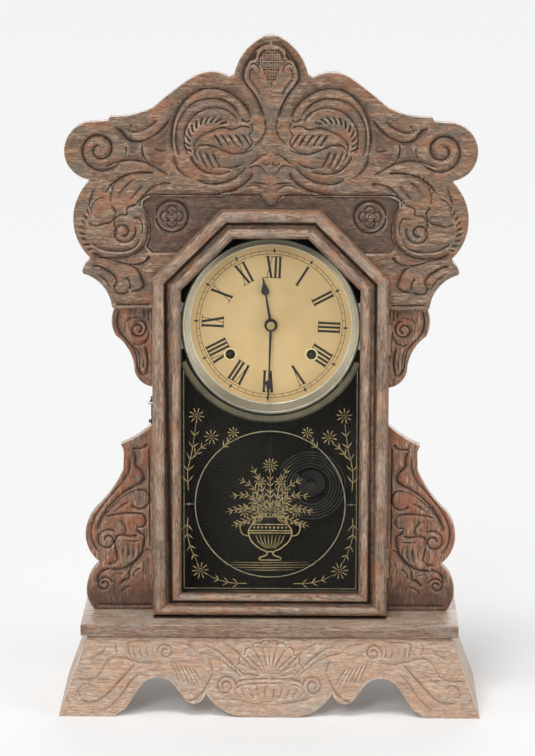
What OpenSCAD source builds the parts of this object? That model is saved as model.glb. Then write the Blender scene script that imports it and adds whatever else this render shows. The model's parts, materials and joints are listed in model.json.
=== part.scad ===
// Gingerbread shelf clock in pressed oak: a scrolled crest, ears and wings round a narrow case,
// an octagon-topped glass door, a spreading base, and an eight-day striking movement with a
// front pendulum and a coil gong.
// Millimetres, +Z up, X to the viewer's right. The front faces -Y and the origin is the middle
// of the footprint. Outlines are drawn in X and Z as the clock is seen from the front.

/* [Case box] */
// Depth of the whole clock, from the foot of the base front to the back of the shelf
depth = 140; // [136:1:150]
// Outside width of the case box
case_w = 200; // [196:1:212]
// Height of the case sides above the shelf
case_h = 362; // [356:1:376]
// Depth of the case sides
case_d = 84; // [82:1:88]
// Thickness of the case sides and top
side_t = 9; // [8:0.5:10]
// Thickness of the backboard
back_t = 5; // [4:0.5:6]
// Shelf left behind the case
back_lip = 4; // [3:0.5:6]

/* [Crest, ears and wings] */
// Thickness of the crest board
crest_t = 12; // [10:0.5:13]
// Thickness of the ears and wings
wing_t = 12; // [10:0.5:14]
// Width of one leg of the crest, from the outside of the case in to its opening
crest_leg = 18; // [16:1:20]
// How far the ears and wings are set back from the crest's front face
wing_set = 12; // [12:0.5:16]

/* [Base] */
// Height from the floor to the underside of the shelf
base_h = 66.5; // [60:0.5:75]
// Thickness of the shelf
shelf_t = 10; // [8:0.5:12]
// Width of the shelf
shelf_w = 320.5; // [318:0.5:330]
// Depth of the shelf
shelf_d = 125; // [122:1:128]
// How far the base stands in from the edges of the shelf
shelf_lip = 3; // [2:0.5:5]
// Width of the base at the floor
foot_w = 357; // [350:1:366]
// Width of the base under the shelf
waist_w = 308; // [306:1:312]
// Thickness of the base boards
base_t = 10; // [8:0.5:12]
// Width of the triangular glue blocks under the shelf
block_w = 18; // [14:0.5:22]
// Length of each glue block from front to back
block_len = 34; // [26:1:38]
// Distance of the front glue blocks from the shelf's front edge
block_front = 36; // [26:0.5:38]
// Distance of the rear glue blocks from the shelf's back edge
block_back = 10; // [6:0.5:16]

/* [Door] */
// Width of the door
door_w = 198.6; // [195:0.2:199]
// Distance from the top of the case down to the top of the door
door_drop = 11.3; // [10:0.1:15]
// Thickness of the door frame
door_t = 12.5; // [12:0.5:14]
// Gap between the closed door and the case
door_gap = 0.5; // [0.4:0.1:0.8]
// Gap between the door and the shelf
sill_gap = 1.2; // [0.8:0.1:2]
// Width of the stiles, the top rail and the two slanted rails
stile_w = 24; // [22:0.5:25]
// Width of the bottom rail
sill_w = 19.5; // [18:0.5:24]
// Length that each upper corner of the door loses along its two sides
corner_cut = 58; // [54:1:62]
// Width of the groove between the two beads
bead_groove = 3.2; // [2.5:0.1:4]
// Depth of the rebate that holds the glass, from the back of the door
rebate_d = 5.2; // [4.8:0.1:6]
// Lap of the frame over the glass
glass_lap = 4; // [3:0.5:5]
// Thickness of the glass
glass_t = 2; // [1.6:0.1:2.6]

/* [Hinges and latch] */
// Length of each hinge
hinge_len = 26; // [22:1:32]
// Height of the lower hinge's middle above the shelf
hinge_low = 46; // [40:1:60]
// Distance of the upper hinge's middle below the top of the door
hinge_drop = 110.7; // [104:0.1:124]
// Outside radius of the hinge knuckles
knuckle_r = 1.5; // [1.4:0.1:1.8]
// Radius of the hinge pins
pin_r = 0.8; // [0.7:0.05:0.9]
// Width of the hinge leaves
leaf_w = 6; // [5:0.5:7]
// Thickness of the hinge leaves
leaf_t = 0.8; // [0.6:0.1:1]
// Height of the latch screw above the shelf
latch_z = 185.5; // [178:0.5:192]
// Reach of the latch hook from its screw to the door's pin
latch_reach = 15; // [14:0.5:16]
// Radius of the door's latch pin
latch_pin_r = 1; // [0.8:0.1:1.2]

/* [Dial and hands] */
// Height of the dial's centre below the top of the case
dial_drop = 113.7; // [110:0.1:118]
// Outside radius of the dial pan's bead
pan_r = 76; // [74:0.5:77]
// Depth from the front of the bead to the paper
pan_depth = 11; // [9:0.5:12]
// Radius of the paper
paper_r = 68.3; // [66:0.1:69]
// Distance from the case's front edge back to the paper
dial_set = 22.4; // [20:0.2:24]
// Sheet thickness of the pan
pan_t = 0.6; // [0.5:0.1:0.8]
// Thickness of the paper disc
paper_t = 0.4; // [0.3:0.1:0.6]
// Radius of the bead's roll
bead_r = 1.6; // [1.2:0.1:2]
// Radius of the winding holes
wind_hole_r = 4.2; // [3.8:0.1:4.6]
// Length of the minute hand
minute_len = 65.5; // [60:0.5:66]
// Length of the hour hand
hour_len = 42; // [38:0.5:46]
// Radius of the boss of the hour hand
hour_boss = 5.6; // [4.6:0.1:6.2]
// Radius of the washer on the minute hand
washer_r = 3.4; // [2.8:0.1:3.8]
// Thickness of the hands
hand_t = 0.8; // [0.6:0.1:1]
// Angle of the hour hand before twelve, as it stands
hour_rest = -9.5; // [-15:0.5:0]
// Angle of the minute hand past twelve, as it stands
minute_rest = 182; // [180:0.5:186]

/* [Movement frame] */
// Width of the movement plates
plate_w = 124; // [122:1:128]
// Height of the movement plates
plate_h = 112; // [110:1:116]
// Height of the plates' middle below the dial's centre
plate_drop = 2; // [0:0.5:3]
// Thickness of the movement plates
plate_t = 1.6; // [1.4:0.1:2]
// Clear distance between the plates
plate_gap = 25.4; // [25:0.1:27]
// Length of the feet between the back plate and the backboard
foot_len = 5.4; // [4:0.2:6]
// Radius of the pillars
pillar_r = 3; // [2.5:0.1:3.5]
// Radius of the train arbors
arbor_r = 0.8; // [0.7:0.05:0.85]
// Radius of the pivots
pivot_r = 0.5; // [0.4:0.02:0.56]
// Running clearance round a pivot or shaft
run_gap = 0.06; // [0.03:0.01:0.08]
// Thickness of the train wheels
wheel_t = 1; // [0.8:0.1:1.2]

/* [Trains] */
// Sideways distance of each winding arbor from the dial's centre
wind_x = 34.5; // [33.5:0.1:35.5]
// Drop of the winding arbors below the dial's centre
wind_drop = 25.8; // [25:0.1:27]
// Teeth of the great wheels
great_teeth = 72; // [70:1:74]
// Tooth module of the great wheels
great_module = 0.6; // [0.59:0.01:0.62]
// Leaves of the pinions that the great wheels drive
second_leaves = 9; // [8:1:10]
// Teeth of the second wheel
second_teeth = 60; // [58:1:62]
// Leaves of the centre pinion
centre_leaves = 16; // [15:1:17]
// Tooth module of the second wheel
second_module = 0.6; // [0.59:0.01:0.62]
// Teeth of the centre wheel
centre_teeth = 84; // [80:2:86]
// Leaves of the third and escape pinions
fast_leaves = 8; // [8:1:9]
// Tooth module of the centre wheel
centre_module = 0.5; // [0.48:0.01:0.51]
// Teeth of the third wheel
third_teeth = 84; // [80:2:86]
// Tooth module of the third wheel
third_module = 0.45; // [0.44:0.01:0.46]
// Teeth of the escape wheel
escape_teeth = 36; // [34:1:38]
// Radius of the escape wheel
escape_r = 12; // [11.5:0.1:12.4]
// Height of the escape wheel above the dial's centre
escape_rise = 25; // [24.6:0.1:26]
// Teeth of the strike train's second wheel
count_teeth = 72; // [70:1:73]
// Teeth of the strike train's third wheel
lock_teeth = 64; // [62:1:66]
// Teeth of the minute wheel
minute_teeth = 36; // [36:4:40]
// Leaves of the cannon pinion
cannon_leaves = 12; // [12:3:15]
// Leaves of the minute wheel's pinion
minute_leaves = 10; // [9:1:11]
// Distance from the centre shaft to the minute wheel's stud
motion_reach = 12; // [11.6:0.1:12.4]

/* [Pendulum, hammer and gong] */
// Height of the pendulum's suspension above the dial's centre
pivot_rise = 42; // [41:0.2:44]
// Length of the pendulum from its suspension to the middle of the bob
pendulum_len = 204.5; // [200:0.5:206]
// Radius of the pendulum bob
bob_r = 17; // [15:0.5:20]
// Thickness of the pendulum bob
bob_t = 8; // [6:0.5:9]
// Radius of the pendulum rod
rod_r = 0.7; // [0.6:0.05:0.9]
// Radius of the outer turn of the gong, to the middle of the wire
gong_r = 31; // [28:0.5:32]
// Distance from one turn of the gong to the next
gong_pitch = 2.6; // [2.4:0.1:2.8]
// Number of turns of the gong
gong_turns = 6; // [5:0.5:7]
// Radius of the gong wire
gong_wire = 0.65; // [0.5:0.05:0.8]
// Distance of the gong's centre to the right of the middle
gong_x = 34.6; // [32:0.2:37]
// Height of the gong's centre above the shelf
gong_rise = 97.6; // [92:0.2:104]
// Distance from the gong's wire back to the backboard
gong_stand = 14; // [12:0.5:15]

/* [Hidden] */
$fn = 48;

oak = "#6e4e38";
oak_dark = "#4a3527";
brass = "#a98a4e";
steel = "#7d7f82";
black = "#1b1a19";

// Planes from front to back
foot_front = -depth / 2;
shelf_back = depth / 2;
shelf_front = shelf_back - shelf_d;
case_back = shelf_back - back_lip;
case_front = case_back - case_d;
board_front = case_back - back_t;
crest_back = case_front + crest_t;
wing_front = case_front + wing_set;
door_back = case_front - door_gap;
door_front = door_back - door_t;
paper_front = case_front + dial_set;
pan_back = paper_front + paper_t + pan_t;
back_plate_y = board_front - foot_len - plate_t;
front_plate_y = back_plate_y - plate_gap - plate_t;
inside_y = front_plate_y + plate_t;

// Heights
shelf_top = base_h + shelf_t;
case_top_z = shelf_top + case_h;
dial_z = case_top_z - dial_drop;
door_z = shelf_top + sill_gap;
door_h = case_h - sill_gap - door_drop;
hinge_high = sill_gap + door_h - hinge_drop;
crest_low = dial_z + 17.5;

// Sideways places
half_case = case_w / 2;
grow = half_case - 100;
half_door = door_w / 2;

// An arc from a towards b that stands s proud of its chord on the right, without its last point
function bow(a, b, s, n) =
  abs(s) < 0.01 ? [a] :
  let (d = b - a,
       l = norm(d),
       right = [d.y, -d.x] / l,
       r = (l * l / 4 + s * s) / (2 * s),
       c = (a + b) / 2 + right * (s - r),
       turn = 2 * atan2(l / 2, abs(r) - abs(s)) * sign(s),
       v = a - c)
  [for (i = [0:n - 1])
    let (t = turn * i / n)
    c + [v.x * cos(t) - v.y * sin(t), v.x * sin(t) + v.y * cos(t)]];

// Steps of a stretch with bulge s, so that its facets lie within this distance of the curve
outline_step = 0.06;
function bends(s) = max(3, ceil(sqrt(abs(s) / outline_step)));

// A run of stops, each [x, z, bulge of the stretch to the next stop]
function run(k) = concat(
  [for (i = [0:len(k) - 2])
    each bow([k[i].x, k[i].y], [k[i + 1].x, k[i + 1].y], k[i].z, bends(k[i].z))],
  [[k[len(k) - 1].x, k[len(k) - 1].y]]);

function flip(p) = [for (i = [len(p) - 1:-1:0]) [-p[i].x, p[i].y]];
function shift(p, dx, dz) = [for (q = p) [q.x + dx, q.y + dz]];
function polar(r, a) = [r * cos(a), r * sin(a)];
function aim(a, b) = atan2(b.y - a.y, b.x - a.x);

// The point at distance ra from a and rb from b, to the left of the line from a to b
function meet(a, ra, b, rb) =
  let (d = norm(b - a),
       u = (b - a) / d,
       x = (ra * ra - rb * rb + d * d) / (2 * d),
       h = sqrt(ra * ra - x * x))
  a + u * x + [-u.y, u.x] * h;

// Children drawn in X and Z become a plate with its front face at y0
module plate(y0, t) {
  translate([0, y0 + t, 0]) rotate([90, 0, 0]) linear_extrude(t) children();
}

// A round bar along Y
module bar(at, y0, y1, r) {
  translate([at.x, y1, at.y]) rotate([90, 0, 0]) cylinder(h = y1 - y0, r = r);
}

// A box given by its lowest and highest corners
module block(low, high) {
  translate(low) cube(high - low);
}

module both_sides() {
  children();
  mirror([1, 0, 0]) children();
}

// Crest outline from the foot of its right leg, out and up to the middle of the finial
crest_half = shift(run([
  [half_case - crest_leg, 17.5, 0],
  [133.5 + grow, 17.5, 0],
  [134.8 + grow, 24, -4.2],
  [157.4 + grow, 46.8, 0.8],
  [158 + grow, 50.8, 0.6],
  [153 + grow, 57.8, 0],
  [152.4 + grow, 61, 13.4],
  [152.4 + grow, 125.2, 0],
  [152.6 + grow, 126.6, 23.6],
  [146 + grow, 175.4, 0],
  [136.4 + grow, 176, 0],
  [134.4 + grow, 179.8, -2.4],
  [98 + grow / 2, 187.5, 0.6],
  [66.1 + grow / 2, 212.6, 4.6],
  [34.8, 213, 0],
  [30.8, 215.4, 4.1],
  [8.3, 245.9, 0.9],
  [0, 248.1, 0]]), 0, dial_z);

// Octagon-topped outline: half width, bottom, top and the length cut from each upper corner
function octagon(w, low, high, cut) =
  [[-w, low], [w, low], [w, high - cut], [w - cut, high], [cut - w, high], [-w, high - cut]];

door_top = door_z + door_h;
open_w = half_door - stile_w;
open_top = door_top - stile_w;
open_cut = corner_cut - stile_w * (2 - sqrt(2));
door_open = octagon(open_w, door_z + sill_w, open_top, open_cut);
crest_open_w = half_case - crest_leg;
crest_open_top = open_top + crest_open_w - open_w;
crest_open_cut = open_cut + (crest_open_w - open_w) * (2 - sqrt(2));

module crest_board() {
  hole = [[-crest_open_w, crest_open_top - crest_open_cut],
          [crest_open_cut - crest_open_w, crest_open_top],
          [crest_open_w - crest_open_cut, crest_open_top],
          [crest_open_w, crest_open_top - crest_open_cut]];
  color(oak) plate(case_front, crest_t)
    polygon(concat(crest_half, flip(crest_half), hole));
}

// Ear outline on the right, in heights from the dial's centre
ear = shift(run([
  [100, -52.5, 4.8],
  [115.9, -34, -3.1],
  [131.5, -8, 2.9],
  [132.2, 16, 0],
  [132.2, 36, 0],
  [100, 36, 0]]), grow, dial_z);

// Wing outline on the right, in heights from the shelf
wing = shift(run([
  [100, 0, 0],
  [151, 0, 0.8],
  [157.3, 12, 4.2],
  [147, 40.5, 0],
  [147, 42.6, 10.2],
  [149.2, 88.8, -2.1],
  [125.6, 123, 0],
  [125.2, 138, -0.6],
  [127.6, 145.4, -1.7],
  [100, 163.5, 0]]), grow, shelf_top);

module side_wing(outline) {
  color(oak) plate(wing_front, wing_t) polygon(outline);
}

// The barrel of a hinge stands in a notch cut from the corners of the case side and the stile
hinge_x = half_door + 0.3;
hinge_y = (case_front + door_back) / 2;
hinge_zs = [shelf_top + hinge_low, shelf_top + hinge_high];
notch_gap = 0.4;
leaf_gap = 0.05;

module hinge_notches(leaf_y0) {
  for (z = hinge_zs) {
    half = hinge_len / 2 + notch_gap;
    r = knuckle_r + notch_gap;
    block([hinge_x - r, hinge_y - r, z - half], [half_case + 5, hinge_y + r, z + half]);
    block([hinge_x - knuckle_r - leaf_w - leaf_gap, leaf_y0, z - hinge_len / 2 - leaf_gap],
          [half_case + 5, leaf_y0 + leaf_t, z + hinge_len / 2 + leaf_gap]);
  }
}

module case_side(right) {
  color(oak) difference() {
    block([half_case - side_t, case_front, shelf_top], [half_case, case_back, case_top_z]);
    block([half_case - side_t - 1, case_front - 1, crest_low],
          [half_case + 1, crest_back, case_top_z + 1]);
    block([half_case - side_t - 1, board_front, shelf_top - 1],
          [half_case - side_t / 2, case_back + 1, case_top_z + 1]);
    if (right) hinge_notches(case_front);
    if (!right) translate([half_case - 6, latch_y, latch_at_z]) rotate([0, 90, 0])
      cylinder(h = 7, r = latch_screw_r + 0.02);
  }
}

module case_top() {
  color(oak_dark) block([side_t - half_case, crest_back, case_top_z - side_t],
                        [half_case - side_t, board_front, case_top_z]);
}

module backboard() {
  color(oak_dark) difference() {
    block([side_t / 2 - half_case, board_front, shelf_top],
          [half_case - side_t / 2, case_back, case_top_z]);
    for (p = pillar_at) bar(p, board_front - 1, board_front + 4, foot_screw_r);
    bar(gong_at, board_front - 1, board_front + 4, gong_screw_r);
  }
}

module base_shelf() {
  color(oak) block([-shelf_w / 2, shelf_front, base_h], [shelf_w / 2, shelf_back, shelf_top]);
}

// The base front leans back from its feet to the shelf, and the base sides lean inwards
front_run = shelf_front + shelf_lip - foot_front;
front_lean = atan2(front_run, base_h);
side_lean = atan2((foot_w - waist_w) / 2, base_h);
slope = 1 / cos(front_lean);

// Scalloped lower edge of the base front, from the middle drop to the right foot
scallop = run([
  [0, 0, 0],
  [17, 0, 5.6],
  [54, 20.4, 6.6],
  [72, 15.3, 0],
  [78, 23, -7.6],
  [108, 26.5, 0],
  [122.5, 6, -0.7],
  [131.2, 0, 0]]);

module front_slab() {
  translate([0, foot_front, 0]) rotate([-front_lean, 0, 0]) children();
}

module base_front() {
  half = [for (p = scallop) [p.x, p.y * slope]];
  reach = tan(side_lean) * 6;
  top = base_h * slope + 6;
  right = concat(half, [[foot_w / 2, 0], [waist_w / 2 - reach, top]]);
  color(oak) intersection() {
    front_slab() plate(0, base_t) polygon(concat(right, flip(right)));
    block([-foot_w, foot_front, 0], [foot_w, shelf_back, base_h]);
  }
}

module base_side() {
  inner = base_t / cos(side_lean);
  profile = [[foot_w / 2, 0], [waist_w / 2, base_h],
             [waist_w / 2 - inner, base_h], [foot_w / 2 - inner, 0]];
  color(oak) difference() {
    plate(foot_front, shelf_back - shelf_lip - foot_front) polygon(profile);
    front_slab() block([-foot_w, -80, -80], [foot_w, base_t, 160]);
  }
}

// Triangular glue blocks in the corners under the shelf
glue_gap = 0.05;
module base_blocks() {
  size = block_w;
  x = waist_w / 2 - base_t / cos(side_lean) - glue_gap;
  corner = [[x, base_h], [x - size, base_h], [x + size * tan(side_lean), base_h - size]];
  color(oak_dark) both_sides()
    for (y0 = [shelf_front + block_front, shelf_back - block_back - block_len])
      plate(y0, block_len) polygon(corner);
}

// Cleats on the case sides that carry the dial pan's tabs
tab_a = 12;
tab_r = pan_r + 6;
tab_y = paper_front - pan_depth + 2 * bead_r;
tab_t = 0.8;
tab_half = 4;
tab_angles = [-tab_a, tab_a, 180 - tab_a, 180 + tab_a];
tab_at = [for (a = tab_angles) polar(tab_r, a) + [0, dial_z]];
cleat_y = max(tab_y + tab_t, crest_back + 0.3);
screw_r = 1;

module dial_blocks() {
  color(oak_dark) both_sides() difference() {
    block([tab_r * cos(tab_a) - 4, cleat_y, dial_z - 28],
          [half_case - side_t, cleat_y + 12, dial_z + 28]);
    for (p = tab_at) bar(p, cleat_y - 1, cleat_y + 8, screw_r);
  }
}

// Door frame: each member has an outer bead, a groove, an inner bead and a rebate behind
module door_profile(w) {
  bead = w - bead_groove;
  outer = bead * 0.27;
  inner = bead * 0.23;
  slab = door_t - 5;
  difference() {
    union() {
      square([w, slab - 0.6]);
      square([outer * 2, door_t - outer]);
      translate([w - inner * 2, 0]) square([inner * 2, door_t - 0.8 - inner]);
      translate([outer, door_t - outer]) circle(outer);
      translate([w - inner, door_t - 0.8 - inner]) circle(inner);
    }
    translate([w - glass_lap, -1]) square([glass_lap + 1, rebate_d + 1]);
  }
}

// A length of moulding along the line from p to q, inside the plan that its mitres leave
module door_member(p, q, w, plan) {
  intersection() {
    translate([p.x, door_back, p.y]) rotate([0, -aim(p, q), 0])
      rotate(a = 180, v = [1, 0, 1])
        translate([0, 0, -30]) linear_extrude(norm(q - p) + 60) door_profile(w);
    plate(door_front - 1, door_t + 2) polygon(plan);
  }
}

door_outer = octagon(half_door, door_z, door_top, corner_cut);

module door_side(i, w) {
  j = (i + 1) % 6;
  p = door_outer[i];
  q = door_outer[j];
  u = (q - p) / norm(q - p) * glue_gap / 2;
  door_member(p, q, w, [p + u, q - u, door_open[j] - u, door_open[i] + u]);
}

module door_rail_bottom() { color(oak) door_side(0, sill_w); }
module door_stile_right() {
  color(oak) difference() {
    door_side(1, stile_w);
    hinge_notches(door_back - leaf_t);
  }
}
module door_mitre_right() { color(oak) door_side(2, stile_w); }
module door_rail_top() { color(oak) door_side(3, stile_w); }
module door_mitre_left() { color(oak) door_side(4, stile_w); }
module door_stile_left() {
  color(oak) difference() {
    door_side(5, stile_w);
    translate([-half_door - 1, latch_pin_y, latch_at_z]) rotate([0, 90, 0])
      cylinder(h = 7, r = latch_pin_r + 0.02);
  }
}

// The pane lies in the rebate with a little room all round
pane_gap = 0.4;
pane_y = door_back - rebate_d;
pane_w = open_w + glass_lap - pane_gap;
pane_low = door_z + sill_w - glass_lap + pane_gap;
pane_top = open_top + glass_lap - pane_gap;
pane_cut = open_cut + (glass_lap - pane_gap) * (2 - sqrt(2));

module door_glass() {
  color([0.75, 0.82, 0.82, 0.3]) plate(pane_y, glass_t)
    polygon(octagon(pane_w, pane_low, pane_top, pane_cut));
}

// Strips that hold the pane from behind, mitred at their ends
strip_w = 2.6;
strip_gap = 0.1;
module glass_strips() {
  outer = octagon(pane_w, pane_low, pane_top, pane_cut);
  inner = octagon(pane_w - strip_w, pane_low + strip_w, pane_top - strip_w,
                  pane_cut - strip_w * (2 - sqrt(2)));
  y0 = pane_y + glass_t + strip_gap;
  color(oak_dark) for (i = [0:5]) {
    j = (i + 1) % 6;
    plate(y0, door_back - y0 - 0.2) polygon([outer[i], outer[j], inner[j], inner[i]]);
  }
}

// A knuckle tube on the hinge axis from z0 to z1, with the leaf that it grows from
module knuckle(z0, z1, leaf_y0) {
  difference() {
    union() {
      translate([hinge_x, hinge_y, z0]) cylinder(h = z1 - z0, r = knuckle_r);
      block([hinge_x - knuckle_r - 0.6, leaf_y0, z0], [hinge_x, leaf_y0 + leaf_t, z1]);
    }
    translate([hinge_x, hinge_y, z0 - 1]) cylinder(h = z1 - z0 + 2, r = pin_r + run_gap);
  }
}

module leaf(z, leaf_y0) {
  block([hinge_x - knuckle_r - leaf_w, leaf_y0, z - hinge_len / 2],
        [hinge_x - knuckle_r - 0.55, leaf_y0 + leaf_t, z + hinge_len / 2]);
}

third = hinge_len / 3;
end_gap = 0.15;

module hinge_case_leaves() {
  color(brass) for (z = hinge_zs) {
    leaf(z, case_front);
    knuckle(z - hinge_len / 2, z - third / 2 - end_gap, case_front);
    knuckle(z + third / 2 + end_gap, z + hinge_len / 2, case_front);
  }
  color(steel) for (z = hinge_zs)
    translate([hinge_x, hinge_y, z - hinge_len / 2]) cylinder(h = hinge_len, r = pin_r);
}

module hinge_door_leaves() {
  color(brass) for (z = hinge_zs) {
    leaf(z, door_back - leaf_t);
    knuckle(z - third / 2 + end_gap, z + third / 2 - end_gap, door_back - leaf_t);
  }
}

// The latch hook hangs on the left case side and turns forward over the door's pin
latch_at_z = shelf_top + latch_z;
latch_pin_y = door_back - door_t / 2 + 0.5;
latch_y = latch_pin_y + latch_reach;
latch_t = 1;
latch_gap = 0.4;
latch_x = -half_case - latch_gap - latch_t;
latch_screw_r = 1.2;

module latch_pin() {
  color(steel) translate([latch_x - 2, latch_pin_y, latch_at_z]) rotate([0, 90, 0])
    cylinder(h = 6 - half_door - latch_x + 2 - 1.2, r = latch_pin_r);
}

// Turns a shape drawn in Y and Z into a sheet on the outside of the case
module sheet(x0, t) {
  translate([x0, 0, 0]) rotate([90, 0, 90]) linear_extrude(t) children();
}

module latch_hook() {
  slot = latch_pin_r + 0.4;
  color(steel) difference() {
    union() {
      sheet(latch_x, latch_t) {
        translate([latch_y, latch_at_z]) circle(3);
        translate([latch_y - 1.3, latch_at_z - latch_reach + 2.4]) square([3.4, latch_reach - 2.4]);
        translate([latch_y - 4.2, latch_at_z - latch_reach - 3.4]) square([6.3, 6]);
        translate([latch_y - 1, latch_at_z - latch_reach - 3.4]) circle(2.6);
      }
      translate([latch_x - 1.9, latch_y - 1, latch_at_z - latch_reach - 3.4]) rotate([0, 90, 0])
        cylinder(h = 2.4, r = 1.5);
    }
    sheet(latch_x - 1, latch_t + 2) translate([latch_y, latch_at_z])
      polygon(concat(
        [for (a = [-84:-6:-132]) polar(latch_reach + slot, a)],
        [for (a = [-132:6:-84]) polar(latch_reach - slot, a)]));
    sheet(latch_x - 1, latch_t + 2) translate([latch_y, latch_at_z]) circle(latch_screw_r + run_gap);
  }
}

module latch_screw() {
  color(steel) {
    translate([latch_x - 0.3, latch_y, latch_at_z]) rotate([0, 90, 0])
      cylinder(h = latch_t + latch_gap + 0.3 + 5.6, r = latch_screw_r);
    translate([latch_x - 1.3, latch_y, latch_at_z]) rotate([0, 90, 0]) cylinder(h = 1, r = 2.6);
  }
}

// Dial pan: a flat floor behind the paper, a cone out to the rolled bead, and four tabs
bead_y = paper_front - pan_depth + bead_r;
centre_hole_r = 3.6;
wind_at = [[wind_x, dial_z - wind_drop], [-wind_x, dial_z - wind_drop]];

module turned() {
  translate([0, 0, dial_z]) rotate([90, 0, 0]) rotate_extrude($fn = 96) children();
}

module dial_pan() {
  floor_y = pan_back;
  rim = pan_r - bead_r;
  skin = pan_t / cos(atan2(rim - paper_r, floor_y - bead_y));
  root = rim + 0.1 - (tab_y + tab_t - bead_y) * (rim + 0.2 - paper_r - skin) / (floor_y - bead_y);
  color("#8f938d") difference() {
    union() {
      turned() polygon([
        [0, -floor_y], [paper_r + skin, -floor_y], [rim + 0.2, -bead_y],
        [rim + 0.2 - skin, -bead_y], [paper_r, -floor_y + pan_t], [0, -floor_y + pan_t]]);
      turned() translate([rim, -bead_y]) circle(bead_r, $fn = 24);
      for (a = tab_angles) plate(tab_y, tab_t) translate([0, dial_z]) rotate(a) difference() {
        union() {
          translate([tab_r, 0]) circle(tab_half);
          translate([root - 3, -tab_half]) square([tab_r - root + 3, tab_half * 2]);
        }
        circle(root);
      }
    }
    bar([0, dial_z], floor_y - 2, floor_y + 2, centre_hole_r);
    for (p = wind_at) bar(p, floor_y - 2, floor_y + 2, wind_hole_r + 0.6);
    for (p = tab_at) bar(p, tab_y - 1, tab_y + 2, screw_r + 0.1);
  }
}

module dial_paper() {
  color("#d6c096") plate(paper_front, paper_t) difference() {
    translate([0, dial_z]) circle(paper_r - 0.2, $fn = 96);
    translate([0, dial_z]) circle(centre_hole_r);
    for (p = wind_at) translate(p) circle(wind_hole_r + 0.6);
  }
}

module dial_screws() {
  color(brass) for (p = tab_at) {
    bar(p, tab_y - 0.05, cleat_y + 7, screw_r);
    bar(p, tab_y - 1.2, tab_y - 0.05, 2);
  }
}

module winding_grommets() {
  color("#8d8a80") for (p = wind_at) difference() {
    union() {
      bar(p, paper_front - 0.6, pan_back + 0.4, wind_hole_r + 0.55);
      bar(p, paper_front - 0.6, paper_front - 0.05, wind_hole_r + 1.4);
    }
    bar(p, paper_front - 2, pan_back + 2, wind_hole_r);
  }
}

// Hands: a tapered blade, a drop and a fine point
hour_y = paper_front - 3.4;
minute_y = hour_y - 2.6;

module blade(len, drop_at, drop_r, boss_r, root_w, turn) {
  translate([0, dial_z]) rotate(-turn) {
    circle(boss_r);
    polygon([[-root_w, 0], [root_w, 0], [0.55, drop_at], [-0.55, drop_at]]);
    translate([0, drop_at]) circle(drop_r);
    polygon([[-drop_r * 0.92, drop_at + drop_r * 0.4], [drop_r * 0.92, drop_at + drop_r * 0.4],
             [0.9, drop_at + drop_r * 2.1], [0.35, len], [-0.35, len],
             [-0.9, drop_at + drop_r * 2.1]]);
  }
}

shaft_r = 1.2;
pipe_r = 2.4;
square_w = 1.5;

module minute_hand() {
  color(black) plate(minute_y, hand_t) difference() {
    blade(minute_len, 50, 2.9, washer_r + 0.4, 1.15, minute_rest);
    translate([0, dial_z]) rotate(-minute_rest) square(square_w + 0.06, center = true);
  }
}

module hour_hand() {
  color(black) plate(hour_y, hand_t) difference() {
    blade(hour_len, 29.5, 3.4, hour_boss, 1.3, hour_rest);
    translate([0, dial_z]) circle(pipe_r + 0.02);
  }
}

module hand_washer() {
  color(brass) difference() {
    union() {
      bar([0, dial_z], minute_y - 0.75, minute_y - 0.05, washer_r);
      bar([0, dial_z], minute_y - 1.1, minute_y - 0.75, washer_r - 1);
    }
    plate(minute_y - 2, 3) translate([0, dial_z]) rotate(-minute_rest)
      square(square_w + 0.06, center = true);
  }
}

// Toothed outline: n teeth of module m about at, one of them pointing at angle a
function gear(at, n, m, a) =
  [for (i = [0:n - 1], k = [[-0.27, -1.2], [-0.11, 0.95], [0.11, 0.95], [0.27, -1.2]])
    at + polar(m * n / 2 + k.y * m, a + (i + k.x) * 360 / n)];

// Opening between two spokes of a wheel
function crossing(at, r0, r1, a0, a1) = concat(
  [for (i = [0:6]) at + polar(r1, a0 + (a1 - a0) * i / 6)],
  [for (i = [4:-1:0]) at + polar(r0, a0 + 4 + (a1 - a0 - 8) * i / 4)]);

function gap_angle(n, a) = a + 180 + 180 / n;
hole_k = 1 / cos(15);

// A wheel with five spokes, meshing towards angle a
module wheel(at, n, m, a, y0, t, hole) {
  root = m * n / 2 - 1.2 * m;
  plate(y0, t) difference() {
    polygon(gear(at, n, m, a));
    translate(at) circle(hole * hole_k, $fn = 12);
    for (i = [0:4])
      polygon(crossing(at, hole + 2.4, root - 1.6, a + i * 72 + 7, a + i * 72 + 65));
  }
}

// A pinion of n leaves that takes a wheel lying at angle a
module pinion(at, n, m, a, y0, t, hole) {
  plate(y0, t) difference() {
    polygon(gear(at, n, m, gap_angle(n, a) - 180));
    translate(at) circle(hole * hole_k, $fn = 12);
  }
}

bore = arbor_r + 0.04;

// An arbor between the plates with a pivot in each
module arbor(at) {
  bar(at, inside_y + 0.3, back_plate_y - 0.3, arbor_r);
  bar(at, front_plate_y - 0.3, inside_y + 0.35, pivot_r);
  bar(at, back_plate_y - 0.35, back_plate_y + plate_t + 0.3, pivot_r);
}

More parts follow.
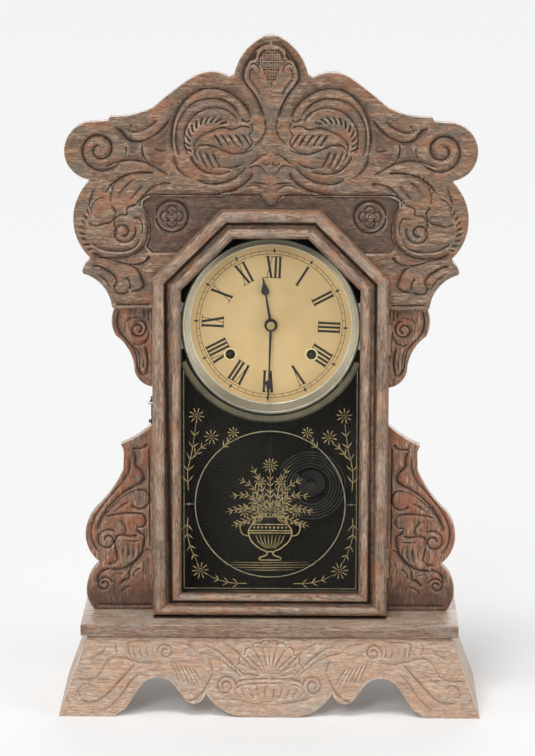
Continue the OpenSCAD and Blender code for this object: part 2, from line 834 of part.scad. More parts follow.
// Arbor places, from the centre distances of the wheels that mesh
centre_at = [0, dial_z];
time_at = wind_at[0];
strike_at = wind_at[1];
great_reach = great_module * (great_teeth + second_leaves) / 2;
second_reach = second_module * (second_teeth + centre_leaves) / 2;
centre_reach = centre_module * (centre_teeth + fast_leaves) / 2;
third_reach = third_module * (third_teeth + fast_leaves) / 2;
escape_at = centre_at + [0, escape_rise];
second_at = meet(time_at, great_reach, centre_at, second_reach);
third_at = meet(escape_at, third_reach, centre_at, centre_reach);
count_reach = centre_module * (count_teeth + fast_leaves) / 2;
lock_reach = centre_module * (lock_teeth + fast_leaves) / 2;
count_at = strike_at + polar(great_reach, 75);
lock_at = count_at + polar(count_reach, 68);
fly_at = lock_at + polar(lock_reach, 100);
hammer_at = centre_at + [-6, -46];
pivot_at = centre_at + [0, pivot_rise];

// Layers between the plates, from the front plate back
second_y = inside_y + 0.7;
great_y = second_y + wheel_t + 0.7;
great_t = wheel_t + 0.6;
centre_y = great_y + great_t + 0.7;
lock_y = centre_y + wheel_t + 3;
third_y = lock_y + wheel_t + 3;
spring_y = great_y + great_t + 1.4;
spring_w = back_plate_y - 0.8 - spring_y;

module time_second_wheel() {
  color(brass) {
    wheel(second_at, second_teeth, second_module, aim(second_at, centre_at),
          second_y, wheel_t, bore);
    pinion(second_at, second_leaves, great_module, aim(second_at, time_at),
           great_y - 0.3, great_t + 0.6, bore);
  }
  color(steel) arbor(second_at);
}

// The centre wheel and its pinion ride on a pipe round the centre shaft
pipe_inner = shaft_r + run_gap;
pipe_outer = pipe_inner + 0.6;

module centre_wheel() {
  color(brass) {
    pinion(centre_at, centre_leaves, second_module, aim(centre_at, second_at),
           second_y - 0.2, wheel_t + 0.4, pipe_outer + 0.04);
    wheel(centre_at, centre_teeth, centre_module, aim(centre_at, third_at),
          centre_y, wheel_t, pipe_outer + 0.04);
    difference() {
      bar(centre_at, inside_y + 0.3, centre_y + 4, pipe_outer);
      bar(centre_at, inside_y, centre_y + 5, pipe_inner);
    }
  }
}

module third_wheel() {
  color(brass) {
    pinion(third_at, fast_leaves, centre_module, aim(third_at, centre_at),
           centre_y - 0.3, wheel_t + 0.6, bore);
    wheel(third_at, third_teeth, third_module, aim(third_at, escape_at),
          third_y, wheel_t, bore);
  }
  color(steel) arbor(third_at);
}

// The escape wheel runs in front of the front plate
escape_y = front_plate_y - 4;
module escape_wheel() {
  color(brass) {
    pinion(escape_at, fast_leaves, third_module, aim(escape_at, third_at),
           third_y - 0.3, wheel_t + 0.6, bore);
    plate(escape_y, wheel_t) difference() {
      polygon([for (i = [0:escape_teeth - 1], k = [[0, -1.7], [0.42, 0], [0.52, 0], [0.5, -1.7]])
        escape_at + polar(escape_r + k.y, (i + k.x) * 360 / escape_teeth)]);
      translate(escape_at) circle(bore * hole_k, $fn = 12);
      for (i = [0:3])
        polygon(crossing(escape_at, bore + 2.2, escape_r - 3, i * 90 + 10, i * 90 + 80));
    }
  }
  color(steel) {
    bar(escape_at, escape_y - 0.3, back_plate_y - 0.3, arbor_r);
    bar(escape_at, back_plate_y - 0.35, back_plate_y + plate_t + 0.3, pivot_r);
  }
}

// Verge: a bent strip over the escape wheel, a hub on its staff, and a crutch wire that drops
// in front of the wheel and ends in a fork round the pendulum rod
rod_y = front_plate_y - 10;
span = 46;
pallet_gap = 0.95;
staff_r = 1;
verge_t = 0.9;
verge_hub_r = staff_r + 1.2;
verge_top = pivot_at.y - staff_r - 1;
crutch_t = 0.9;
crutch_y = escape_y - 2 * crutch_t;
crutch_z = pivot_at.y - 19;
crutch_half = 0.6;
fork = rod_r + 0.35;
fork_wall = 1.2;

module verge() {
  tip = escape_r + pallet_gap;
  knee = escape_r + 3.6;
  right = [[3, verge_top - escape_at.y + 1.4],
           polar(knee + verge_t, 90 - span + 8),
           polar(tip + 1.6, 90 - span - 2),
           polar(tip, 90 - span),
           polar(knee, 90 - span + 8.5),
           [2.6, verge_top - escape_at.y]];
  color(steel) difference() {
    union() {
      plate(escape_y, wheel_t) translate(escape_at) polygon(concat(right, flip(right)));
      bar(pivot_at, crutch_y, escape_y + wheel_t, verge_hub_r);
      block([-crutch_half, crutch_y, crutch_z - 1], [crutch_half, crutch_y + crutch_t, pivot_at.y]);
      block([-fork - fork_wall, rod_y - fork - fork_wall, crutch_z - 1],
            [fork + fork_wall, crutch_y + crutch_t, crutch_z + 0.2]);
    }
    bar(pivot_at, crutch_y - 1, escape_y + wheel_t + 1, staff_r + run_gap);
    block([-fork, rod_y - fork, crutch_z - 2], [fork, rod_y + fork + fork_wall, crutch_z + 1]);
  }
}

// Suspension post with its slit, and the staff that the verge turns on
slit_half = 0.55;
module suspension_post() {
  color(brass) difference() {
    union() {
      bar(pivot_at + [0, 6], rod_y - 3, front_plate_y, 2.6);
      bar(pivot_at + [0, 6], rod_y - 3.6, rod_y - 3, 3.2);
    }
    block([-slit_half, rod_y - 4, pivot_at.y], [slit_half, rod_y + 2.2, pivot_at.y + 10]);
  }
  color(steel) bar(pivot_at, crutch_y - 0.4, front_plate_y, staff_r);
}

// Pendulum: a strip of spring steel, a wire rod with an eye round the centre shaft, and the bob
eye_r = 8.4;
bob_z = pivot_at.y - pendulum_len;

module pendulum_rod() {
  spring_end = pivot_at.y - 5.2;
  color(steel) {
    block([-0.1, rod_y - 1.5, spring_end], [0.1, rod_y + 1.5, pivot_at.y + 5]);
    difference() {
      block([-0.9, rod_y - 1.7, spring_end - 3], [0.9, rod_y + 1.7, spring_end + 1.2]);
      block([-0.12, rod_y - 2, spring_end], [0.12, rod_y + 2, spring_end + 2]);
    }
    translate([0, rod_y, dial_z + eye_r]) cylinder(h = spring_end - 3 - dial_z - eye_r, r = rod_r);
    translate([0, rod_y, bob_z - bob_r - 6])
      cylinder(h = dial_z - eye_r - bob_z + bob_r + 6, r = rod_r);
    translate([0, rod_y, dial_z]) rotate([90, 0, 0]) rotate_extrude()
      translate([eye_r, 0]) circle(rod_r, $fn = 16);
  }
}

module pendulum_bob() {
  dish = (bob_r * bob_r + bob_t * bob_t / 4) / bob_t;
  color("#6d5a35") {
    difference() {
      translate([0, rod_y, bob_z]) rotate([90, 0, 0]) rotate_extrude() intersection() {
        translate([0, dish - bob_t / 2]) circle(dish, $fn = 180);
        translate([0, bob_t / 2 - dish]) circle(dish, $fn = 180);
        translate([0, -bob_t]) square([bob_r - 0.3, bob_t * 2]);
      }
      translate([0, rod_y, bob_z - bob_r - 1]) cylinder(h = bob_r * 2 + 2, r = rod_r + 0.05);
    }
    difference() {
      translate([0, rod_y, bob_z - bob_r - 4.2]) cylinder(h = 2.6, r = 3);
      translate([0, rod_y, bob_z - bob_r - 5]) cylinder(h = 4, r = rod_r + 0.05);
    }
  }
}

// Motion work in front of the front plate
cannon_module = motion_reach * 2 / (cannon_leaves + minute_teeth);
hour_teeth = 12 * cannon_leaves * minute_leaves / minute_teeth;
hour_module = motion_reach * 2 / (minute_leaves + hour_teeth);
minute_at = centre_at + polar(motion_reach, 205);
stud_r = 1;
cannon_y = front_plate_y - 2.2;
hour_wheel_y = cannon_y - 2.4;

module centre_shaft() {
  tip_y = minute_y - 1.4;
  color(steel) {
    bar(centre_at, minute_y + hand_t + 0.3, back_plate_y - 0.3, shaft_r);
    bar(centre_at, back_plate_y - 0.35, back_plate_y + plate_t + 0.3, pivot_r);
    plate(tip_y, minute_y + hand_t + 0.35 - tip_y) translate(centre_at) rotate(-minute_rest)
      square(square_w, center = true);
  }
  color(brass) pinion(centre_at, cannon_leaves, cannon_module, aim(centre_at, minute_at),
                      cannon_y - 0.2, wheel_t + 0.4, shaft_r + 0.04);
}

module minute_wheel() {
  color(brass) {
    wheel(minute_at, minute_teeth, cannon_module, aim(minute_at, centre_at),
          cannon_y, wheel_t, stud_r + run_gap);
    pinion(minute_at, minute_leaves, hour_module, aim(minute_at, centre_at),
           hour_wheel_y - 0.2, cannon_y - 0.05 - hour_wheel_y + 0.2, stud_r + run_gap);
  }
}

module hour_wheel() {
  color(brass) {
    wheel(centre_at, hour_teeth, hour_module, aim(centre_at, minute_at),
          hour_wheel_y, wheel_t, pipe_r + 0.04);
    difference() {
      bar(centre_at, hour_y - 0.2, hour_wheel_y + wheel_t + 0.3, pipe_r);
      bar(centre_at, hour_y - 1, hour_wheel_y + 3, shaft_r + run_gap);
    }
  }
}

// Great wheels with the click that holds the ratchet on the winding arbor
winding_r = 2.4;
winding_front_r = winding_r - 0.4;
winding_back_r = 1.4;
ratchet_teeth = 16;
ratchet_r = 8;
ratchet_y = great_y + great_t + 0.1;

module great_wheel(at, target, side) {
  color(brass) wheel(at, great_teeth, great_module, aim(at, target), great_y, great_t,
                     winding_r + run_gap);
  color(steel) plate(ratchet_y, 0.9) translate(at) rotate(side * 40)
    polygon([[ratchet_r + 0.5, -0.6], [ratchet_r + 5, -3], [ratchet_r + 7.4, -0.4],
             [ratchet_r + 5.6, 2.4], [ratchet_r + 0.9, 0.9]]);
}

module winding_arbor(at) {
  square_end = 2.8;
  color(steel) {
    bar(at, inside_y + 0.3, back_plate_y - 0.3, winding_r);
    bar(at, front_plate_y - 1, inside_y + 0.35, winding_front_r);
    bar(at, back_plate_y - 0.35, back_plate_y + plate_t + 0.3, winding_back_r);
    plate(paper_front - 0.4, front_plate_y - 0.95 - paper_front + 0.4)
      translate(at) square(square_end, center = true);
    plate(ratchet_y, 0.9) difference() {
      polygon([for (i = [0:ratchet_teeth - 1], k = [[0, -1.4], [0.9, 0]])
        at + polar(ratchet_r + k.y, (i + k.x) * 360 / ratchet_teeth)]);
      translate(at) circle(winding_r + 0.04);
    }
  }
}

module time_great_wheel() { great_wheel(time_at, second_at, 1); }
module strike_great_wheel() { great_wheel(strike_at, count_at, 2); }
module time_arbor() { winding_arbor(time_at); }
module strike_arbor() { winding_arbor(strike_at); }

// Open mainsprings: a spiral band round the arbor, hooked at its outer end on a lower pillar
spring_t = 0.45;
spring_turns = 8;
spring_in = winding_r + 1;
spring_out = 19;
spring_steps = 20;

function spiral(at, s) = [for (i = [0:spring_turns * spring_steps])
  let (f = i / (spring_turns * spring_steps),
       p = polar(spring_in + (spring_out - spring_in) * f, -60 + f * spring_turns * 360))
  at + [s * p.x, p.y]];

// Points of a path moved sideways by d
function beside(p, d) = [for (i = [0:len(p) - 1])
  let (a = p[max(i - 1, 0)],
       b = p[min(i + 1, len(p) - 1)],
       u = (b - a) / norm(b - a))
  p[i] + [-u.y, u.x] * d];

module mainsprings() {
  color("#54575c") for (s = [1, -1]) {
    at = s > 0 ? time_at : strike_at;
    post = pillar_at[s > 0 ? 1 : 0];
    hook = pillar_r + spring_t / 2 + 0.1;
    line = concat(spiral(at, s), [for (a = [57:-20:-83]) post + [s * hook * cos(a), hook * sin(a)]]);
    edge = beside(line, spring_t / 2);
    back = beside(line, -spring_t / 2);
    plate(spring_y, spring_w)
      polygon(concat(edge, [for (i = [len(back) - 1:-1:0]) back[i]]));
  }
}

// Strike train: the count wheel, the locking wheel with the fly pinion, and the fly
module strike_second_wheel() {
  color(brass) {
    pinion(count_at, second_leaves, great_module, aim(count_at, strike_at),
           great_y - 0.3, great_t + 0.6, bore);
    wheel(count_at, count_teeth, centre_module, aim(count_at, lock_at),
          second_y, wheel_t, bore);
  }
  color(steel) arbor(count_at);
}

module strike_third_wheel() {
  color(brass) {
    pinion(lock_at, fast_leaves, centre_module, aim(lock_at, count_at),
           second_y - 0.3, wheel_t + 0.6, bore);
    wheel(lock_at, lock_teeth, centre_module, aim(lock_at, fly_at), lock_y, wheel_t, bore);
  }
  color(steel) arbor(lock_at);
}

fly_reach = 8.5;
module strike_fly() {
  color(brass) {
    pinion(fly_at, fast_leaves, centre_module, aim(fly_at, lock_at),
           lock_y - 0.3, wheel_t + 0.6, bore);
    difference() {
      block([fly_at.x - fly_reach, third_y + 1, fly_at.y - 0.2],
            [fly_at.x + fly_reach, back_plate_y - 1, fly_at.y + 0.2]);
      bar(fly_at, third_y, back_plate_y, bore);
    }
  }
  color(steel) arbor(fly_at);
}

// Movement plates with corner radii, pivot holes and two large piercings
plate_mid = [0, dial_z - plate_drop];
corner_r = 9;
pillar_at = [for (c = [[-1, -1], [1, -1], [1, 1], [-1, 1]])
  plate_mid + [c.x * (plate_w / 2 - 6), c.y * (plate_h / 2 - 6)]];
pillar_screw_r = 1.3;

module plate_outline() {
  w = plate_w / 2;
  h = plate_h / 2;
  translate(plate_mid) {
    square([plate_w - corner_r * 2, plate_h], center = true);
    square([plate_w, plate_h - corner_r * 2], center = true);
    for (x = [-1, 1], z = [-1, 1])
      translate([x * (w - corner_r), z * (h - corner_r)]) circle(corner_r);
  }
}

train_at = [second_at, third_at, count_at, lock_at, fly_at, hammer_at];

module plate_holes(pivots) {
  for (p = pivots) translate(p) circle(pivot_r + run_gap);
  for (p = pillar_at) translate(p) circle(pillar_screw_r + 0.1);
  for (s = [-1, 1]) translate(plate_mid + [s * (plate_w / 2 - 14), 14]) circle(9);
}

module front_plate() {
  color(brass) plate(front_plate_y, plate_t) difference() {
    plate_outline();
    plate_holes(train_at);
    translate(centre_at) circle(shaft_r + run_gap);
    translate(escape_at) circle(arbor_r + run_gap);
    for (p = wind_at) translate(p) circle(winding_front_r + run_gap);
    translate(minute_at) circle(stud_r + 0.01);
    translate(pivot_at) circle(staff_r + 0.02);
  }
  color(steel) bar(minute_at, hour_wheel_y - 0.8, front_plate_y + plate_t, stud_r);
}

module back_plate() {
  color(brass) plate(back_plate_y, plate_t) difference() {
    plate_outline();
    plate_holes(concat(train_at, [centre_at, escape_at]));
    for (p = wind_at) translate(p) circle(winding_back_r + run_gap);
  }
}

// Pillars between the plates, their feet to the backboard, and the screws through both
foot_screw_r = 1.3;
module pillars() {
  color(brass) for (p = pillar_at) {
    bar(p, inside_y, back_plate_y, pillar_r);
    bar(p, front_plate_y - 1.4, inside_y + 0.1, pillar_screw_r);
    bar(p, front_plate_y - 1.4, front_plate_y, 2.6);
    bar(p, back_plate_y + plate_t, board_front, pillar_r + 1.2);
    bar(p, back_plate_y - 0.1, back_plate_y + plate_t + 0.1, pillar_screw_r);
    bar(p, board_front - 0.1, board_front + 3.8, foot_screw_r - 0.05);
  }
}

// Gong: one spiral of wire in a sheet parallel to the back, its inner end on the stand
gong_at = [gong_x, shelf_top + gong_rise];
gong_y = board_front - gong_stand;
gong_screw_r = 2;
rings = 24;
gong_start = 150;
gong_steps = gong_turns * rings;
gong_in = gong_r - gong_pitch * gong_turns;

function gong_point(i) = gong_at
  + polar(gong_r - gong_pitch * i / rings, gong_start - i * 360 / rings);
gong_end = gong_point(gong_steps);
gong_dir = (gong_point(gong_steps) - gong_point(gong_steps - 1))
  / norm(gong_point(gong_steps) - gong_point(gong_steps - 1));
gong_line = concat([for (i = [0:gong_steps]) gong_point(i)],
                   [gong_end + gong_dir * gong_wire * 2]);

// Least gap of the wire to the next turn, measured on its points
gong_gap = min([for (i = [0:gong_steps - rings])
  min([for (j = [i + rings - 4:min(i + rings + 4, gong_steps)])
    norm(gong_point(i) - gong_point(j))])]) - gong_wire * 2;
echo(gong_gap = gong_gap);

module gong_coil() {
  sides = 6;
  n = len(gong_line);
  ring = [for (i = [0:n - 1])
    let (a = gong_line[max(i - 1, 0)],
         b = gong_line[min(i + 1, n - 1)],
         u = (b - a) / norm(b - a),
         right = [u.y, -u.x])
    for (k = [0:sides - 1])
      let (c = gong_line[i] + right * gong_wire * cos(k * 360 / sides))
      [c.x, gong_y + gong_wire * sin(k * 360 / sides), c.y]];
  skin = [for (i = [0:n - 2], k = [0:sides - 1])
    let (a = i * sides + k,
         b = i * sides + (k + 1) % sides)
    each [[a, b + sides, b], [a, a + sides, b + sides]]];
  caps = [for (k = [1:sides - 2])
    each [[0, k, k + 1], [(n - 1) * sides, (n - 1) * sides + k + 1, (n - 1) * sides + k]]];
  color("#6f7173") polyhedron(points = ring, faces = concat(skin, caps));
}

// Iron stand: a round foot on the backboard, a post, and an arm that takes the wire's inner end
module gong_base() {
  tip = gong_line[len(gong_line) - 1];
  lug = gong_pitch - gong_wire - 1;
  color("#2b2b2c") {
    bar(gong_at, board_front - 4, board_front, 12);
    bar(gong_at, gong_y - 3, board_front - 3.9, 4.5);
    bar(gong_at, board_front - 0.1, board_front + 3.8, gong_screw_r - 0.05);
    translate([tip.x, gong_y, tip.y]) rotate([0, -atan2(gong_dir.y, gong_dir.x), 0])
      block([0, -2.2, -lug], [2.4, 2.2, lug]);
    translate([gong_at.x, gong_y, gong_at.y]) rotate([0, -aim(gong_at, tip + gong_dir * 1.8), 0])
      block([0, -1.8, -1.3], [norm(tip + gong_dir * 1.8 - gong_at), 1.8, 1.3]);
  }
}

// Hammer: a wire from its arbor down to a head that rests just left of the gong
head_r = 3.6;
head_len = 9;
head_gap = 1;
head_at = [gong_at.x - gong_r - gong_wire - head_gap, gong_at.y + 4];

module hammer() {
  top = hammer_at;
  mid = head_at + [-head_len / 2, 0];
  color(steel) {
    arbor(top);
    difference() {
      bar(top, gong_y - 3.6, gong_y - 0.4, 2.4);
      bar(top, gong_y - 5, gong_y + 1, arbor_r + 0.03);
    }
    translate([top.x, gong_y - 2, top.y]) rotate([0, 90 - aim(top, mid), 0])
      translate([0, 0, 2]) cylinder(h = norm(mid - top) - head_r - 1.8, r = 0.8);
  }
  color(oak_dark) translate([head_at.x - head_len, gong_y - 2, head_at.y]) rotate([0, 90, 0])
    cylinder(h = head_len, r = head_r);
}

mirror([1, 0, 0]) case_side(false);  // case_side_left
case_side(true);  // case_side_right
case_top();
backboard();
crest_board();
mirror([1, 0, 0]) side_wing(ear);  // ear_left
side_wing(ear);  // ear_right
mirror([1, 0, 0]) side_wing(wing);  // wing_left
side_wing(wing);  // wing_right
base_shelf();
base_front();
mirror([1, 0, 0]) base_side();  // base_side_left
base_side();  // base_side_right
base_blocks();
dial_blocks();
door_stile_left();
door_stile_right();
door_rail_top();
door_rail_bottom();
door_mitre_left();
door_mitre_right();
door_glass();
glass_strips();
hinge_case_leaves();
hinge_door_leaves();
latch_pin();
latch_hook();
latch_screw();
dial_pan();
dial_paper();
dial_screws();
winding_grommets();
minute_hand();
hour_hand();
hand_washer();
centre_shaft();
minute_wheel();
hour_wheel();
front_plate();
back_plate();
pillars();
mainsprings();
time_great_wheel();
strike_great_wheel();
time_arbor();
strike_arbor();
time_second_wheel();
centre_wheel();
third_wheel();
escape_wheel();
verge();
suspension_post();
pendulum_rod();
pendulum_bob();
strike_second_wheel();
strike_third_wheel();
strike_fly();
hammer();
gong_coil();
gong_base();
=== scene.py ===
"""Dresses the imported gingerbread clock: carved oak, a moulded door, gilt on glass, paper and brass."""
import json
import logging
import math
from dataclasses import dataclass, field
from enum import Enum
from typing import Callable, Sequence

import bmesh
import bpy
import numpy as np
from mathutils import Matrix, Vector
from mathutils.geometry import delaunay_2d_cdt


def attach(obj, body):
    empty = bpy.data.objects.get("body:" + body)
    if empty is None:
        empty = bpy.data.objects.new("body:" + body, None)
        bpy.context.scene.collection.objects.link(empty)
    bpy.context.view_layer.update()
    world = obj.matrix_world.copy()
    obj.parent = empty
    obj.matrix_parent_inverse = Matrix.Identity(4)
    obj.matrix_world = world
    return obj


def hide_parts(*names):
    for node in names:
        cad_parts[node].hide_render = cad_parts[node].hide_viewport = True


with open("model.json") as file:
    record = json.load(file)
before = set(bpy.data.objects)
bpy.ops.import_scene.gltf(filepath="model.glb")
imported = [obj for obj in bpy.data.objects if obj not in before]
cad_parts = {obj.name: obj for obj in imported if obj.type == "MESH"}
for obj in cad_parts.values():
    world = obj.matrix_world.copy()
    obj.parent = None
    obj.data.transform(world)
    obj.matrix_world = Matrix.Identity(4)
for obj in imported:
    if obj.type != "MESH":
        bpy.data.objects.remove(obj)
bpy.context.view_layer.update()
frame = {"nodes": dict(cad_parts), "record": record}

LOG = logging.getLogger("clock")

MM = 0.001
Point = tuple[float, float]
Triple = tuple[float, float, float]
Colour = Triple
Socket = bpy.types.NodeSocket
Piece = bpy.types.Object

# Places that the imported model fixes, in millimetres
DIAL_Z = 324.8
PAPER_FRONT = 4.4
PANE_BACK = -21.7
BEAD_Y = -5.0
BEAD_RING = 74.4
DOOR_HALF = 99.3
DOOR_LOW = 77.7
DOOR_TOP = 427.2
DOOR_CUT = 58.0
CREASE = math.radians(38)
SMOOTH = math.radians(40)
RIM_CREASE = math.radians(35)


class Grain(Enum):
    """Direction in which the wood of a board runs, as a turn about Y in degrees."""

    ACROSS = 0.0
    UPRIGHT = 90.0
    RISING = 45.0
    FALLING = -45.0


# Shaders


class Graph:
    """A material's node tree with short calls for the nodes that the finishes share."""

    def __init__(self, name: str) -> None:
        """Starts an empty tree with an output and a principled shader.

        Args:
            name: The material's name.
        """
        self.material = bpy.data.materials.new(name)
        self.material.use_nodes = True
        self.tree = self.material.node_tree
        self.tree.nodes.clear()
        self.out = self.tree.nodes.new("ShaderNodeOutputMaterial")
        self.shader = self.tree.nodes.new("ShaderNodeBsdfPrincipled")
        self.wire(self.shader.outputs["BSDF"], self.out.inputs["Surface"])

    def wire(self, source: Socket, target: Socket) -> None:
        """Links two sockets."""
        self.tree.links.new(source, target)

    def feed(self, value: object, target: Socket) -> None:
        """Links a socket, or sets a plain value, on a target socket.

        Args:
            value: A socket, a number or a colour.
            target: The socket that takes it.
        """
        if isinstance(value, Socket):
            self.wire(value, target)
        elif isinstance(value, tuple) and len(value) == 3 and target.type == "RGBA":
            target.default_value = (*value, 1.0)
        else:
            target.default_value = value

    def place(self, turn: float = 0.0, scale: Triple = (1.0, 1.0, 1.0)) -> Socket:
        """Gives the piece's own coordinates, turned about Y and then scaled.

        Args:
            turn: Turn about Y in degrees.
            scale: Scale along the three axes after the turn.

        Returns:
            The vector socket.
        """
        source = self.tree.nodes.new("ShaderNodeTexCoord").outputs["Object"]
        for rotation, size in (((0.0, math.radians(turn), 0.0), (1.0, 1.0, 1.0)),
                               ((0.0, 0.0, 0.0), scale)):
            node = self.tree.nodes.new("ShaderNodeMapping")
            node.inputs["Rotation"].default_value = rotation
            node.inputs["Scale"].default_value = size
            self.wire(source, node.inputs["Vector"])
            source = node.outputs["Vector"]
        return source

    def noise(self, at: Socket, scale: float = 1.0, detail: float = 4.0,
              rough: float = 0.55, twist: float = 0.0) -> Socket:
        """Adds a noise texture and returns its value.

        Args:
            at: Coordinates.
            scale: Scale of the noise.
            detail: Number of finer layers.
            rough: Weight of the finer layers.
            twist: How far the pattern is bent.

        Returns:
            The noise's value.
        """
        node = self.tree.nodes.new("ShaderNodeTexNoise")
        node.inputs["Scale"].default_value = scale
        node.inputs["Detail"].default_value = detail
        node.inputs["Roughness"].default_value = rough
        node.inputs["Distortion"].default_value = twist
        self.wire(at, node.inputs["Vector"])
        return node.outputs["Fac"]

    def ramp(self, value: Socket, stops: Sequence[tuple[float, Colour]]) -> Socket:
        """Maps a value to colours through the given stops.

        Args:
            value: The value to map.
            stops: Places from 0 to 1, with the colour at each.

        Returns:
            The colour.
        """
        node = self.tree.nodes.new("ShaderNodeValToRGB")
        band = node.color_ramp
        while len(band.elements) < len(stops):
            band.elements.new(0.5)
        for element, (place, colour) in zip(band.elements, stops):
            element.position = place
            element.color = (*colour, 1.0)
        self.wire(value, node.inputs["Fac"])
        return node.outputs["Color"]

    def fit(self, value: object, low: float, high: float, to_low: float = 0.0,
            to_high: float = 1.0) -> Socket:
        """Stretches a value from one range to another, clamped.

        Args:
            value: The value to stretch.
            low: Value that gives to_low.
            high: Value that gives to_high.
            to_low: Result at the low end.
            to_high: Result at the high end.

        Returns:
            The stretched value.
        """
        node = self.tree.nodes.new("ShaderNodeMapRange")
        for name, number in (("From Min", low), ("From Max", high), ("To Min", to_low), ("To Max", to_high)):
            node.inputs[name].default_value = number
        self.feed(value, node.inputs["Value"])
        return node.outputs["Result"]

    def math(self, kind: str, a: object, b: object = 0.0) -> Socket:
        """Adds a math node of the given kind.

        Args:
            kind: Blender's name of the operation.
            a: First value.
            b: Second value.

        Returns:
            The result.
        """
        node = self.tree.nodes.new("ShaderNodeMath")
        node.operation = kind
        self.feed(a, node.inputs[0])
        self.feed(b, node.inputs[1])
        return node.outputs[0]

    def mix(self, share: object, a: object, b: object, kind: str = "MIX") -> Socket:
        """Mixes two colours.

        Args:
            share: Share of the second colour.
            a: First colour.
            b: Second colour.
            kind: Blender's name of the way to mix.

        Returns:
            The mixed colour.
        """
        node = self.tree.nodes.new("ShaderNodeMix")
        node.data_type = "RGBA"
        node.blend_type = kind
        self.feed(share, node.inputs["Factor"])
        self.feed(a, node.inputs[6])
        self.feed(b, node.inputs[7])
        return node.outputs[2]

    def split(self, at: Socket) -> tuple[Socket, Socket, Socket]:
        """Splits coordinates into X, Y and Z.

        Args:
            at: The coordinates.

        Returns:
            The three values.
        """
        node = self.tree.nodes.new("ShaderNodeSeparateXYZ")
        self.wire(at, node.inputs[0])
        return node.outputs[0], node.outputs[1], node.outputs[2]

    def length(self, a: Socket, b: Socket) -> Socket:
        """Gives the length of the arrow with these two sides."""
        return self.math("SQRT", self.math("ADD", self.math("MULTIPLY", a, a), self.math("MULTIPLY", b, b)))

    def read(self, name: str) -> Socket:
        """Reads a number stored on the mesh's points.

        Args:
            name: Name of the attribute.

        Returns:
            The number at the place that is being drawn.
        """
        node = self.tree.nodes.new("ShaderNodeAttribute")
        node.attribute_name = name
        return node.outputs["Fac"]

    def relief(self, height: Socket, depth: float, strength: float = 1.0) -> None:
        """Turns a height in metres into the shader's normal.

        Args:
            height: Height, from 0 to 1.
            depth: Height of 1 in metres.
            strength: Share of the relief that is used.
        """
        node = self.tree.nodes.new("ShaderNodeBump")
        node.inputs["Distance"].default_value = depth
        node.inputs["Strength"].default_value = strength
        self.wire(height, node.inputs["Height"])
        self.wire(node.outputs["Normal"], self.shader.inputs["Normal"])

    def set(self, **values: object) -> None:
        """Feeds the principled shader's inputs, given with underscores for spaces."""
        for name, value in values.items():
            self.feed(value, self.shader.inputs[name.replace("_", " ")])


def background_share(tree: bpy.types.NodeTree) -> Socket:
    """Gives 1 where the camera sees a surface, straight, mirrored or through glass, and 0 elsewhere.

    Args:
        tree: Node tree of a material or a world.

    Returns:
        The value's socket.
    """
    path = tree.nodes.new("ShaderNodeLightPath")
    share = path.outputs["Is Camera Ray"]
    for ray in ("Is Glossy Ray", "Is Transmission Ray"):
        either = tree.nodes.new("ShaderNodeMath")
        either.operation = "MAXIMUM"
        tree.links.new(share, either.inputs[0])
        tree.links.new(path.outputs[ray], either.inputs[1])
        share = either.outputs[0]
    return share


class Finish:
    """A finish that is made into a material once and then shared."""

    _made: dict[str, bpy.types.Material] = {}
    name: str

    def build(self, graph: Graph) -> None:
        """Wires the finish's nodes."""
        raise NotImplementedError

    def material(self) -> bpy.types.Material:
        """Returns the finish's material, making it at the first call.

        Returns:
            The material, the same one at each call.
        """
        if self.name not in Finish._made:
            graph = Graph(self.name)
            self.build(graph)
            Finish._made[self.name] = graph.material
        return Finish._made[self.name]


